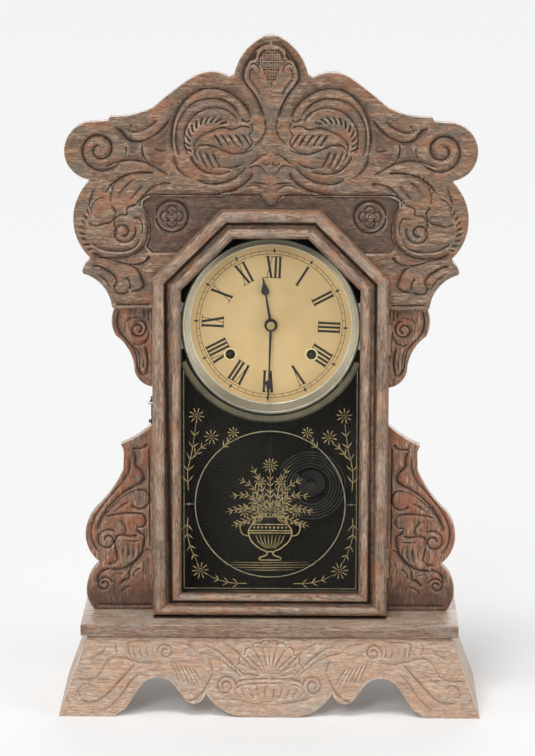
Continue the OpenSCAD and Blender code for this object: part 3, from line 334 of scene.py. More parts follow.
@dataclass(frozen=True)
class Oak(Finish):
    """Brown pressed oak with grain and pores, ridges lightened as wear and painted highlight, and hollows
    darkened as dirt and painted shade.
    """

    name: str
    grain: Grain = Grain.ACROSS
    dark: Colour = (0.085, 0.049, 0.031)
    mid: Colour = (0.215, 0.132, 0.083)
    light: Colour = (0.430, 0.300, 0.205)
    red: Colour = (0.290, 0.125, 0.062)
    grey: Colour = (0.128, 0.114, 0.088)
    # Colour laid on the ridges: wear together with a painted highlight.
    worn: Colour = (0.580, 0.480, 0.390)
    # Colour laid by carving depth: dirt together with a painted shade along the carved lines.
    dip: Colour = (0.056, 0.031, 0.021)
    # Colour laid into the hollows: dirt together with painted shade.
    grime_and_shade: Colour = (0.018, 0.009, 0.006)
    red_share: float = 0.70
    grey_share: float = 0.72
    dip_share: float = 0.68
    grime_and_shade_share: float = 0.80
    wear_and_highlight_share: float = 0.60
    patchy: float = 0.60
    rough: float = 0.38
    gloss: float = 0.36
    grain_depth: float = 0.0006
    ring_scale: Triple = (55.0, 480.0, 480.0)
    fibre_scale: Triple = (160.0, 1300.0, 1300.0)
    pore_scale: Triple = (260.0, 2100.0, 2100.0)
    flush_scale: Triple = (36.0, 64.0, 64.0)
    cloud_scale: Triple = (32.0, 60.0, 60.0)
    patch_scale: Triple = (60.0, 60.0, 60.0)
    stops: Triple = (0.39, 0.50, 0.61)

    def build(self, graph: Graph) -> None:
        """Wires rings, fibres, pores, stains, dirt and painted shade in the hollows and along the carved
        lines, wear and painted highlights on the ridges, and a grain relief.

        Args:
            graph: Graph of the material that is being made.
        """
        turn = self.grain.value
        ring = graph.noise(graph.place(turn, self.ring_scale), 1.0, 6.0, 0.64, 0.25)
        fibre = graph.noise(graph.place(turn, self.fibre_scale), 1.0, 3.0, 0.65)
        pore = graph.noise(graph.place(turn, self.pore_scale), 1.0, 1.0, 0.5)
        flush = graph.noise(graph.place(turn, self.flush_scale), 1.0, 4.0, 0.62, 0.7)
        cloud = graph.noise(graph.place(turn, self.cloud_scale), 1.37, 4.0, 0.62, 0.6)
        figure = graph.math("ADD", graph.math("MULTIPLY", ring, 0.55), graph.math("MULTIPLY", fibre, 0.45))
        colour = graph.ramp(figure, tuple(zip(self.stops, (self.dark, self.mid, self.light))))
        colour = graph.mix(graph.fit(flush, 0.48, 0.60, 0.0, self.red_share), colour, self.red)
        colour = graph.mix(graph.fit(cloud, 0.51, 0.62, 0.0, self.grey_share), colour, self.grey)
        dash = graph.fit(pore, 0.565, 0.64, 0.0, 0.75)
        colour = graph.mix(dash, colour, self.dark)
        patch = graph.noise(graph.place(0.0, self.patch_scale), 1.0, 3.0, 0.6)
        hollow = graph.math("MULTIPLY", graph.read("hollow"),
                            graph.fit(patch, 0.34, 0.56, 1 - self.patchy, 1.0))
        # Painted shade and dirt: darker with the carving's depth, in a soft band along each line.
        dip = graph.fit(graph.read("dip"), 0.06, 0.95, 0.0, self.dip_share)
        colour = graph.mix(dip, colour, self.dip)
        # Painted shade and dirt: the hollows darken, patchily.
        colour = graph.mix(graph.fit(hollow, 0.08, 0.80, 0.0, self.grime_and_shade_share), colour, self.grime_and_shade)
        colour = self._add_painted_shadow(graph, colour)
        # Painted highlight and wear: the ridges lighten, patchily.
        ridge = graph.math("MULTIPLY", graph.read("ridge"), graph.fit(patch, 0.42, 0.62, 0.25, 1.0))
        colour = graph.mix(graph.fit(ridge, 0.08, 0.8, 0.0, self.wear_and_highlight_share), colour, self.worn)
        rough = graph.fit(ring, 0.3, 0.7, self.rough + 0.1, self.rough - 0.08)
        gloss = graph.fit(hollow, 0.10, 0.70, self.gloss, 0.03)
        graph.set(Base_Color=colour, Roughness=rough, Specular_IOR_Level=gloss)
        height = graph.math("SUBTRACT", figure, graph.math("MULTIPLY", dash, 0.6))
        graph.relief(height, self.grain_depth, 0.8)

    def _add_painted_shadow(self, graph: Graph, colour: Socket) -> Socket:
        """Returns the colour as it is: boards with a painted shadow of their own add it here."""
        return colour


@dataclass(frozen=True)
class ShelfOak(Oak):
    """Oak with a painted shadow: a dark line where the door stands over it."""

    edge: tuple[float, float] = (-0.0360, -0.0315)
    end: tuple[float, float] = (-0.0120, -0.0060)
    top: tuple[float, float] = (0.0740, 0.0750)
    half: float = 0.0990
    soft: float = 0.0015
    shadow_share: float = 0.93

    def _add_painted_shadow(self, graph: Graph, colour: Socket) -> Socket:
        """Mixes the painted shadow in by the distance from the door's foot.

        Args:
            graph: Graph of the material that is being made.
            colour: The oak's own colour.

        Returns:
            The colour with the painted shadow over it.
        """
        x, y, z = graph.split(graph.place())
        share = graph.fit(graph.math("ABSOLUTE", x), self.half, self.half + self.soft, self.shadow_share, 0.0)
        for edge in (graph.fit(y, *self.edge), graph.fit(y, *self.end, 1.0, 0.0), graph.fit(z, *self.top)):
            share = graph.math("MULTIPLY", share, edge)
        # Painted shadow: a dark line on the shelf under the door's foot.
        return graph.mix(share, colour, self.grime_and_shade)


@dataclass(frozen=True)
class Metal(Finish):
    """Metal with fine scratches and a patchy tarnish."""

    name: str
    colour: Colour
    stain: Colour
    rough: float = 0.32
    stain_share: float = 0.5
    metallic: float = 1.0
    patch: float = 90.0

    def build(self, graph: Graph) -> None:
        """Wires tarnish patches, scratches and a slight relief.

        Args:
            graph: Graph of the material that is being made.
        """
        patch = graph.noise(graph.place(), self.patch, 5.0, 0.62)
        scratch = graph.noise(graph.place(20.0, (300.0, 3000.0, 3000.0)), 1.0, 2.0, 0.5)
        share = graph.fit(patch, 0.42, 0.66, 0.0, self.stain_share)
        colour = self._tone_by_height(graph, graph.mix(share, self.colour, self.stain))
        rough = graph.math("ADD", graph.fit(patch, 0.3, 0.7, self.rough, self.rough + 0.22),
                           graph.fit(scratch, 0.3, 0.7, -0.04, 0.06))
        graph.set(Base_Color=colour, Metallic=self.metallic, Roughness=rough)
        graph.relief(scratch, 0.00003, 0.5)

    def _tone_by_height(self, graph: Graph, colour: Socket) -> Socket:
        """Returns the colour as it is: metal that darkens by height adds it here."""
        return colour


@dataclass(frozen=True)
class ShadedRingMetal(Metal):
    """Metal of an upright ring that is darker at its foot and has a painted shadow at its head."""

    foot_tone: Colour = (0.250, 0.225, 0.175)
    head_shadow: Colour = (0.105, 0.098, 0.080)
    foot: tuple[float, float] = (0.300, 0.262)
    head: tuple[float, float] = (0.368, 0.390)
    foot_tone_share: float = 0.80
    head_shadow_share: float = 0.85

    def _tone_by_height(self, graph: Graph, colour: Socket) -> Socket:
        """Mixes the darker foot and the painted shadow at the head in by height.

        Args:
            graph: Graph of the material that is being made.
            colour: The metal's own colour.

        Returns:
            The colour, darker at the foot and with the painted shadow at the head.
        """
        height = graph.split(graph.place())[2]
        # Darker towards the foot of the ring.
        colour = graph.mix(graph.fit(height, *self.foot, 0.0, self.foot_tone_share), colour, self.foot_tone)
        # Painted shadow: the ring's head darkens where the door frame shades it.
        return graph.mix(graph.fit(height, *self.head, 0.0, self.head_shadow_share), colour, self.head_shadow)


@dataclass(frozen=True)
class Paper(Finish):
    """Yellowed dial paper with faint foxing and a browner rim."""

    name: str
    colour: Colour = (0.750, 0.528, 0.266)
    stain: Colour = (0.560, 0.362, 0.158)
    browning: tuple[float, float] = (0.050, 0.068)
    browned: float = 0.30

    def build(self, graph: Graph) -> None:
        """Wires fibres, stains and a rim that darkens outwards.

        Args:
            graph: Graph of the material that is being made.
        """
        at = graph.place()
        cloud = graph.noise(at, 26.0, 5.0, 0.6)
        speck = graph.noise(at, 420.0, 2.0, 0.5)
        x, _, z = graph.split(at)
        radius = graph.length(x, graph.math("SUBTRACT", z, DIAL_Z * MM))
        rim = graph.fit(radius, *self.browning, 0.0, self.browned)
        colour = graph.mix(graph.fit(cloud, 0.42, 0.72, 0.0, 0.45), self.colour, self.stain)
        colour = graph.mix(rim, colour, self.stain)
        colour = graph.mix(graph.fit(speck, 0.66, 0.74, 0.0, 0.30), colour, self.stain)
        graph.set(Base_Color=colour, Roughness=0.72, Specular_IOR_Level=0.3)
        graph.relief(speck, 0.00004, 0.4)


@dataclass(frozen=True)
class Paint(Finish):
    """Printing ink or enamel, a little uneven."""

    name: str
    colour: Colour
    worn: Colour
    rough: float = 0.4
    scale: float = 300.0

    def build(self, graph: Graph) -> None:
        """Wires an uneven coat.

        Args:
            graph: Graph of the material that is being made.
        """
        patch = graph.noise(graph.place(), self.scale, 4.0, 0.6)
        worn = graph.fit(patch, 0.5, 0.75, 0.0, 0.6)
        graph.set(Base_Color=graph.mix(worn, self.colour, self.worn),
                  Roughness=graph.fit(patch, 0.3, 0.7, self.rough, self.rough + 0.15))
        graph.relief(patch, 0.00002, 0.4)


@dataclass(frozen=True)
class Pane(Finish):
    """Clear old glass: what lies behind shows, with a reflection that grows at a slant."""

    name: str
    tint: Colour = (0.975, 0.985, 0.98)
    rough: float = 0.02
    wave_scale: float = 14.0
    wave_height: float = 0.00005
    bending: float = 1.13

    def build(self, graph: Graph) -> None:
        """Mixes a clear and a glossy shader by the angle of view.

        Args:
            graph: Graph of the material that is being made.
        """
        nodes = graph.tree.nodes
        clear = nodes.new("ShaderNodeBsdfTransparent")
        clear.inputs["Color"].default_value = (*self.tint, 1.0)
        gloss = nodes.new("ShaderNodeBsdfGlossy")
        gloss.inputs["Roughness"].default_value = self.rough
        gloss.inputs["Color"].default_value = (1.0, 1.0, 1.0, 1.0)
        wave = nodes.new("ShaderNodeBump")
        wave.inputs["Distance"].default_value = self.wave_height
        graph.wire(graph.noise(graph.place(), self.wave_scale, 2.0, 0.5), wave.inputs["Height"])
        graph.wire(wave.outputs["Normal"], gloss.inputs["Normal"])
        slant = nodes.new("ShaderNodeFresnel")
        slant.inputs["IOR"].default_value = self.bending
        face = nodes.new("ShaderNodeNewGeometry")
        front = graph.math("SUBTRACT", 1.0, face.outputs["Backfacing"])
        share = graph.math("MULTIPLY", slant.outputs[0], front)
        blend = nodes.new("ShaderNodeMixShader")
        graph.wire(share, blend.inputs[0])
        graph.wire(clear.outputs[0], blend.inputs[1])
        graph.wire(gloss.outputs[0], blend.inputs[2])
        nodes.remove(graph.shader)
        graph.wire(blend.outputs[0], graph.out.inputs["Surface"])


@dataclass(frozen=True)
class Backdrop(Finish):
    """A pale floor that keeps the object's shadow and runs out to white where the camera sees it."""

    name: str
    tone: float = 0.80
    white: float = 0.93
    far: float = 0.90
    run_out: tuple[float, float] = (0.22, 0.75)
    distance: tuple[float, float] = (1.2, 5.5)

    def build(self, graph: Graph) -> None:
        """Wires a nearly even pale paper, and the white around it.

        Args:
            graph: Graph of the material that is being made.
        """
        at = graph.place()
        patch = graph.noise(at, 3.0, 2.0, 0.5)
        colour = graph.mix(graph.fit(patch, 0.3, 0.7), (self.tone,) * 3, (self.tone * 0.99,) * 3)
        graph.set(Base_Color=colour, Roughness=0.9, Specular_IOR_Level=0.1)
        x, y, _ = graph.split(at)
        away = graph.fit(graph.length(x, y), *self.run_out)
        share = graph.math("MULTIPLY", away, background_share(graph.tree))
        glow = graph.tree.nodes.new("ShaderNodeEmission")
        tone = graph.ramp(graph.fit(y, *self.distance), ((0.0, (self.white,) * 3), (1.0, (self.far,) * 3)))
        graph.wire(tone, glow.inputs["Color"])
        blend = graph.tree.nodes.new("ShaderNodeMixShader")
        graph.wire(share, blend.inputs[0])
        graph.wire(graph.shader.outputs["BSDF"], blend.inputs[1])
        graph.wire(glow.outputs[0], blend.inputs[2])
        graph.wire(blend.outputs[0], graph.out.inputs["Surface"])


OAK_CREST = Oak("oak_crest")
OAK_DOOR = dict(dark=(0.068, 0.040, 0.026), mid=(0.235, 0.142, 0.091), light=(0.455, 0.322, 0.230),
                red=(0.345, 0.150, 0.074), grey=(0.160, 0.137, 0.108), worn=(0.580, 0.470, 0.370),
                grime_and_shade=(0.016, 0.010, 0.007), dip=(0.080, 0.042, 0.028), red_share=0.68, grey_share=0.60,
                dip_share=0.82, grime_and_shade_share=0.90, wear_and_highlight_share=0.50, patchy=0.03)
OAK_BASE = dict(dark=(0.290, 0.190, 0.132), mid=(0.455, 0.318, 0.228), light=(0.610, 0.462, 0.352),
                red=(0.480, 0.280, 0.180), grey=(0.360, 0.312, 0.265), worn=(0.820, 0.700, 0.590),
                dip=(0.280, 0.172, 0.118), grime_and_shade=(0.120, 0.066, 0.044), red_share=0.55, grey_share=0.55,
                dip_share=0.55, grime_and_shade_share=0.50, wear_and_highlight_share=0.85, rough=0.55)
# Painted light: a lighter copy of the base oak, for the brightly lit sides of the base and for the inner
# blocks, so that the space under the base reads lit.
OAK_BASE_SIDE_LIT = dict(OAK_BASE, dark=(0.420, 0.330, 0.260), mid=(0.560, 0.455, 0.370),
                     light=(0.700, 0.590, 0.500))
OAK_WING = dict(mid=(0.275, 0.143, 0.085), light=(0.510, 0.315, 0.203), red=(0.330, 0.115, 0.060),
                red_share=0.80, grey_share=0.60, dip=(0.072, 0.044, 0.034), dip_share=0.78, grime_and_shade_share=0.74)
DOOR_ACROSS = Oak("oak_door_across", Grain.ACROSS, **OAK_DOOR)
DOOR_UPRIGHT = Oak("oak_door_upright", Grain.UPRIGHT, **OAK_DOOR)
DOOR_RISING = Oak("oak_door_rising", Grain.RISING, **OAK_DOOR)
DOOR_FALLING = Oak("oak_door_falling", Grain.FALLING, **OAK_DOOR)
WING_OAK = Oak("oak_wing", Grain.UPRIGHT, **OAK_WING)
CASE_OAK = Oak("oak_case", Grain.UPRIGHT)
SHELF_OAK = ShelfOak("oak_shelf", Grain.ACROSS, dark=(0.130, 0.084, 0.057), mid=(0.375, 0.270, 0.194),
                     light=(0.560, 0.445, 0.345), grey=(0.360, 0.320, 0.262), worn=(0.580, 0.490, 0.400),
                     dip=(0.150, 0.066, 0.040), red_share=0.35, grey_share=0.75, dip_share=0.86)
BASE_OAK = Oak("oak_base", Grain.ACROSS, **OAK_BASE)
LIT_BASE_SIDE_OAK = Oak("oak_base_side_lit", Grain.ACROSS, **OAK_BASE_SIDE_LIT)
# The backboard's inner face is near-black: partly a dark stain, partly painted shade of the closed case.
BACK_OAK = Oak("oak_back", Grain.UPRIGHT, grime_and_shade=(0.040, 0.039, 0.034), grime_and_shade_share=0.985, patchy=0.0)
# Near-black inner oak: partly a dark stain, partly painted shade of the closed case.
INNER_OAK = Oak("oak_inner", Grain.UPRIGHT, dark=(0.005, 0.004, 0.003), mid=(0.011, 0.009, 0.007),
                light=(0.018, 0.016, 0.013), red=(0.013, 0.009, 0.007), grey=(0.012, 0.012, 0.010),
                worn=(0.035, 0.029, 0.023), rough=0.85, gloss=0.05, grain_depth=0.0001)
# Painted light: the dial blocks are pale grey-green, far lighter than the inner oak, so the corners behind
# the glass read as lit.
LIT_BLOCK_OAK = Oak("oak_block_lit", Grain.UPRIGHT, dark=(0.090, 0.088, 0.070), mid=(0.150, 0.150, 0.124),
                light=(0.200, 0.202, 0.172), red=(0.140, 0.120, 0.090), grey=(0.120, 0.124, 0.106),
                worn=(0.200, 0.200, 0.170), rough=0.85, gloss=0.05, grain_depth=0.0001)
BRASS = Metal("brass", (0.62, 0.46, 0.20), (0.32, 0.21, 0.09), 0.30, 0.6)
DARK_BRASS = Metal("dark_brass", (0.36, 0.26, 0.13), (0.13, 0.09, 0.05), 0.38, 0.7)
STEEL = Metal("steel", (0.42, 0.42, 0.41), (0.22, 0.20, 0.17), 0.30, 0.6)
SPRING = Metal("spring_steel", (0.20, 0.21, 0.23), (0.10, 0.09, 0.08), 0.32, 0.6)
GONG_WIRE = Metal("gong_wire", (0.120, 0.118, 0.105), (0.070, 0.062, 0.050), 0.45, 0.6)
IRON = Metal("iron", (0.035, 0.034, 0.033), (0.07, 0.05, 0.04), 0.42, 0.5, 0.4)
BRIGHT_BRASS = Metal("bright_brass", (0.88, 0.72, 0.40), (0.60, 0.45, 0.22), 0.25, 0.4)
PAN_PLATE = ShadedRingMetal("pan_plate", (0.84, 0.83, 0.77), (0.62, 0.59, 0.50), 0.40, 0.5, 0.92, 45.0)
# Painted shade: the dial's outer bead is a darker copy of the pan's metal, as the bead lies in shade.
SHADED_RIM_PLATE = ShadedRingMetal("rim_plate_shaded", (0.60, 0.58, 0.48), (0.34, 0.32, 0.25), 0.36, 0.7, 0.85, 60.0)
BRIGHT_RIM = Metal("bright_rim", (0.80, 0.78, 0.70), (0.55, 0.50, 0.38), 0.25, 0.5, 0.9, 60.0)
SMOKED_STEEL = Metal("smoked_steel", (0.030, 0.030, 0.028), (0.014, 0.013, 0.011), 0.55, 0.6, 0.35)
BLACKING = Paint("blacking", (0.012, 0.011, 0.011), (0.035, 0.030, 0.026), 0.32)
DIAL_PAPER = Paper("dial_paper")
INK = Paint("dial_ink", (0.026, 0.021, 0.016), (0.075, 0.054, 0.034), 0.6, 900.0)
BROWN_INK = Paint("brown_ink", (0.150, 0.078, 0.032), (0.260, 0.150, 0.065), 0.6, 900.0)
GILT = Metal("gilt", (0.480, 0.350, 0.155), (0.190, 0.142, 0.074), 0.42, 0.8, 0.25, 260.0)
LINE_GILT = Metal("line_gilt", (0.310, 0.270, 0.165), (0.120, 0.104, 0.064), 0.45, 0.8, 0.2, 200.0)
# Olive gilt band: partly gilt on the glass, partly painted shade of the dial bead's rolled edge.
OLIVE_GILT_AND_SHADE = Metal("olive_gilt_and_shade", (0.120, 0.096, 0.056), (0.065, 0.052, 0.030), 0.5, 0.7, 0.1, 70.0)
GLASS = Pane("old_glass")

SLOT_FINISH: dict[str, Finish] = {
    "oak": CASE_OAK, "oak_inside": INNER_OAK, "glass": GLASS, "brass": BRASS, "dark_brass": DARK_BRASS,
    "steel": STEEL, "spring_steel": SPRING, "blacking": BLACKING, "pan_plate": PAN_PLATE,
    "paper": DIAL_PAPER, "iron": IRON}


# Meshes


def make_piece(name: str, points: Sequence, faces: Sequence, finish: Finish, body: str,
               smooth: bool = False) -> Piece:
    """Makes a mesh piece from points in millimetres and lets it ride on a body.

    Args:
        name: The piece's name.
        points: Corner points in millimetres.
        faces: Faces as rows of point numbers.
        finish: What the surface is finished in.
        body: CAD body that carries the piece.
        smooth: Whether the faces are shaded smooth.

    Returns:
        The new object.
    """
    mesh = bpy.data.meshes.new(name)
    mesh.from_pydata([tuple(float(c) * MM for c in p) for p in points], [], faces)
    mesh.validate()
    mesh.update()
    mesh.materials.append(finish.material())
    if smooth:
        mesh.shade_smooth()
    piece = bpy.data.objects.new(name, mesh)
    bpy.context.scene.collection.objects.link(piece)
    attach(piece, body)
    LOG.info("%s: %d faces on %s", name, len(mesh.polygons), body)
    return piece


class FlatWork:
    """Collects flat shapes drawn in X and Z, and makes them into one thin piece."""

    def __init__(self) -> None:
        """Starts with no shapes."""
        self.shapes: list[list[Point]] = []

    def area(self, outline: Sequence[Point]) -> None:
        """Adds a filled convex outline."""
        turn = sum(a[0] * b[1] - b[0] * a[1] for a, b in zip(outline, [*outline[1:], outline[0]]))
        self.shapes.append(list(outline) if turn > 0 else list(outline)[::-1])

    def line(self, path: Sequence[Point], width: float, ends: tuple[float, float] = (1.0, 1.0),
             closed: bool = False) -> None:
        """Adds a ribbon along a path.

        Args:
            path: Points of the ribbon's middle.
            width: Width in millimetres.
            ends: Share of the width at its first and last point.
            closed: Whether the last point joins the first.
        """
        p = np.array([*path, path[0]] if closed else path, float)
        if closed:
            step = np.roll(p[:-1], -1, 0) - np.roll(p[:-1], 1, 0)
            step = np.vstack([step, step[:1]])
        else:
            step = np.gradient(p, axis=0)
        step /= np.maximum(np.linalg.norm(step, axis=1), 1e-9)[:, None]
        side = np.column_stack([-step[:, 1], step[:, 0]])
        taper = np.interp(np.linspace(0, 1, len(p)), (0, 0.5, 1), (ends[0], 1.0, ends[1]))
        half = width / 2 * taper[:, None]
        left, right = p + side * half, p - side * half
        for i in range(len(p) - 1):
            self.area([tuple(left[i]), tuple(right[i]), tuple(right[i + 1]), tuple(left[i + 1])])

    def disc(self, at: Point, radius: float, sides: int = 12) -> None:
        """Adds a filled round spot."""
        self.area([spot(at, radius, 360 * i / sides) for i in range(sides)])

    def make(self, name: str, front: float, depth: float, finish: Finish, body: str, slot: str) -> Piece:
        """Makes one piece of all shapes, each a thin prism.

        Args:
            name: The piece's name.
            front: Y of the front face in millimetres.
            depth: Thickness in millimetres.
            finish: The finish.
            body: CAD body that carries the piece.
            slot: Record's material slot; not used.

        Returns:
            The new object.
        """
        points: list[tuple[float, float, float]] = []
        faces: list[list[int]] = []
        for shape in self.shapes:
            n, start = len(shape), len(points)
            points += [(x, front, z) for x, z in shape] + [(x, front + depth, z) for x, z in shape]
            faces.append(list(range(start, start + n)))
            faces.append(list(range(start + 2 * n - 1, start + n - 1, -1)))
            faces += [[start + i, start + n + i, start + n + (i + 1) % n, start + (i + 1) % n]
                      for i in range(n)]
        return make_piece(name, points, faces, finish, body)


def spot(at: Point, radius: float, angle: float) -> Point:
    """Returns the point at a radius and an angle in degrees from a centre."""
    turn = math.radians(angle)
    return at[0] + radius * math.cos(turn), at[1] + radius * math.sin(turn)


def arc(at: Point, radius: float, start: float, end: float, steps: int = 24) -> list[Point]:
    """Returns points of an arc from one angle to another, in degrees."""
    return [spot(at, radius, start + (end - start) * i / steps) for i in range(steps + 1)]


def volute(at: Point, outer: float, inner: float, start: float, turns: float) -> list[Point]:
    """Returns a spiral that winds inwards.

    Args:
        at: Its centre.
        outer: Radius where it starts.
        inner: Radius where it ends.
        start: Angle where it starts, in degrees.
        turns: Turns that it makes, positive against the clock.

    Returns:
        The spiral's points.
    """
    steps = max(12, int(abs(turns) * 22))
    return [spot(at, outer + (inner - outer) * (i / steps) ** 0.8, start + 360 * turns * i / steps)
            for i in range(steps + 1)]


def flow(stops: Sequence[Point], pitch: float = 1.0) -> np.ndarray:
    """Draws a smooth line through a few stops.

    Args:
        stops: Points that the line passes.
        pitch: Distance between the points that are returned.

    Returns:
        An array of points.
    """
    p = np.array(stops, float)
    if len(p) < 3:
        ends = np.linalg.norm(p[1] - p[0])
        return p[0] + (p[1] - p[0]) * np.linspace(0, 1, max(2, int(ends / pitch) + 1))[:, None]
    p = np.vstack([2 * p[0] - p[1], p, 2 * p[-1] - p[-2]])
    out = []
    for a, b, c, d in zip(p, p[1:], p[2:], p[3:]):
        t = np.linspace(0, 1, max(2, int(np.linalg.norm(c - b) / pitch) + 1), endpoint=False)[:, None]
        out.append(0.5 * (2 * b + (c - a) * t + (2 * a - 5 * b + 4 * c - d) * t ** 2
                          + (3 * b - a - 3 * c + d) * t ** 3))
    return np.vstack([*out, p[-2:-1]])


# Carving


@dataclass(frozen=True)
class Cut:
    """A carved line: a groove with its own slope on each side of its path."""

    path: Sequence[Point]
    depth: float = 1.3
    left: float = 1.6
    right: float = 1.6
    fade: bool = False


@dataclass(frozen=True)
class Sunk:
    """A sunk field with soft edges, cross-hatched if it has a hatch pitch."""

    outline: Sequence[Point]
    depth: float = 1.2
    soft: float = 1.6
    hatch: float = 0.0


def distance_to(line: np.ndarray, points: np.ndarray) -> tuple[np.ndarray, np.ndarray, np.ndarray]:
    """Measures how far points lie from a line.

    Args:
        line: Points of the line.
        points: Points to measure.

    Returns:
        Distance, side (1 on the left, -1 on the right) and place along the line from 0 to 1.
    """
    a, b = line[:-1], line[1:]
    d = b - a
    size = np.maximum((d ** 2).sum(1), 1e-12)
    rel = points[:, None, :] - a[None]
    t = np.clip((rel * d[None]).sum(2) / size, 0, 1)
    gap = np.linalg.norm(rel - t[..., None] * d[None], axis=2)
    best = gap.argmin(1)
    rows = np.arange(len(points))
    r, e = rel[rows, best], d[best]
    side = np.where(e[:, 0] * r[:, 1] - e[:, 1] * r[:, 0] >= 0, 1.0, -1.0)
    return gap[rows, best], side, (best + t[rows, best]) / len(a)


def inside(outline: np.ndarray, points: np.ndarray) -> np.ndarray:
    """Tells which points lie inside a closed outline.

    Args:
        outline: Corners of the closed outline in the plane.
        points: Places to test, one to a row.

    Returns:
        True for each place inside the outline.
    """
    held = np.zeros(len(points), bool)
    for a, b in zip(outline, np.roll(outline, -1, 0)):
        if a[1] != b[1]:
            above = (a[1] > points[:, 1]) != (b[1] > points[:, 1])
            x = a[0] + (points[:, 1] - a[1]) * (b[0] - a[0]) / (b[1] - a[1])
            held ^= above & (points[:, 0] < x)
    return held


class Relief:
    """The carving of a board, drawn for its right half and mirrored to the left."""

    def __init__(self, cuts: Sequence[Cut], fields: Sequence[Sunk] = (), deeper: float = 1.0,
                 uneven: float = 0.22) -> None:
        """Prepares the carved lines.

        Args:
            cuts: Carved lines.
            fields: Sunk fields.
            deeper: Factor on every depth.
            uneven: How far the face swells and sinks between the lines, in millimetres.
        """
        self.cuts = [(cut, flow(cut.path)) for cut in cuts]
        self.fields = fields
        self.deeper = deeper
        self.uneven = uneven

    def depth(self, points: np.ndarray) -> np.ndarray:
        """Returns how deep the carving is at each point.

        Args:
            points: Points on the board's face, in millimetres.

        Returns:
            Depths below the face, in millimetres.
        """
        at = np.column_stack([np.abs(points[:, 0]), points[:, 1]])
        total = np.zeros(len(at))
        for area in self.fields:
            edge = np.array(area.outline, float)
            near = self._near(at, edge, 0.0)
            near[near] = inside(edge, at[near])
            gap, _, _ = distance_to(np.vstack([edge, edge[:1]]), at[near])
            sink = area.depth * np.clip(gap / area.soft, 0, 1)
            if area.hatch:
                waves = [np.abs(np.sin(math.pi * at[near, k] / area.hatch)) for k in (0, 1)]
                sink += 0.45 * np.clip(1 - 2.2 * np.minimum(*waves), 0, 1)
            total[near] = np.maximum(total[near], sink)
        lines = np.zeros(len(at))
        for cut, line in self.cuts:
            near = self._near(at, line, 2.2 * max(cut.left, cut.right))
            if not near.any():
                continue
            gap, side, along = distance_to(line, at[near])
            width = np.where(side > 0, cut.left, cut.right)
            width = width * np.interp(width, (1.2, 1.6, 2.5), (1.25, 1.6, 2.1))
            ease = np.clip(np.minimum(along, 1 - along) * (2.6 if cut.fade else 12), 0, 1) ** 0.6
            ease = ease * (0.88 + 0.12 * np.sin(9 * along + 40 * cut.depth))
            rise = np.clip(1 - gap / width, 0, 1)
            groove = cut.depth * ease * (0.50 * (1 - np.sqrt(1 - rise ** 2)) + 0.50 * rise ** 1.4)
            lines[near] = np.maximum(lines[near], groove) + 0.12 * np.minimum(lines[near], groove)
        x, z = at.T
        swell = np.sin(x / 2.9 + 1.7 * np.sin(z / 5.3)) * np.sin(z / 3.3 + 1.4 * np.sin(x / 4.7))
        return np.minimum(total + lines, 2.7) * self.deeper + self.uneven * (1 + swell)

    def guide(self) -> np.ndarray:
        """Returns points on every carved line, on both halves."""
        lines = np.vstack([line for _, line in self.cuts])
        return np.vstack([lines, lines * (-1, 1)])

    @staticmethod
    def _near(at: np.ndarray, line: np.ndarray, reach: float) -> np.ndarray:
        """Marks the points in the line's box, widened by its reach."""
        low, high = line.min(0) - reach, line.max(0) + reach
        return ((at > low) & (at < high)).all(1)


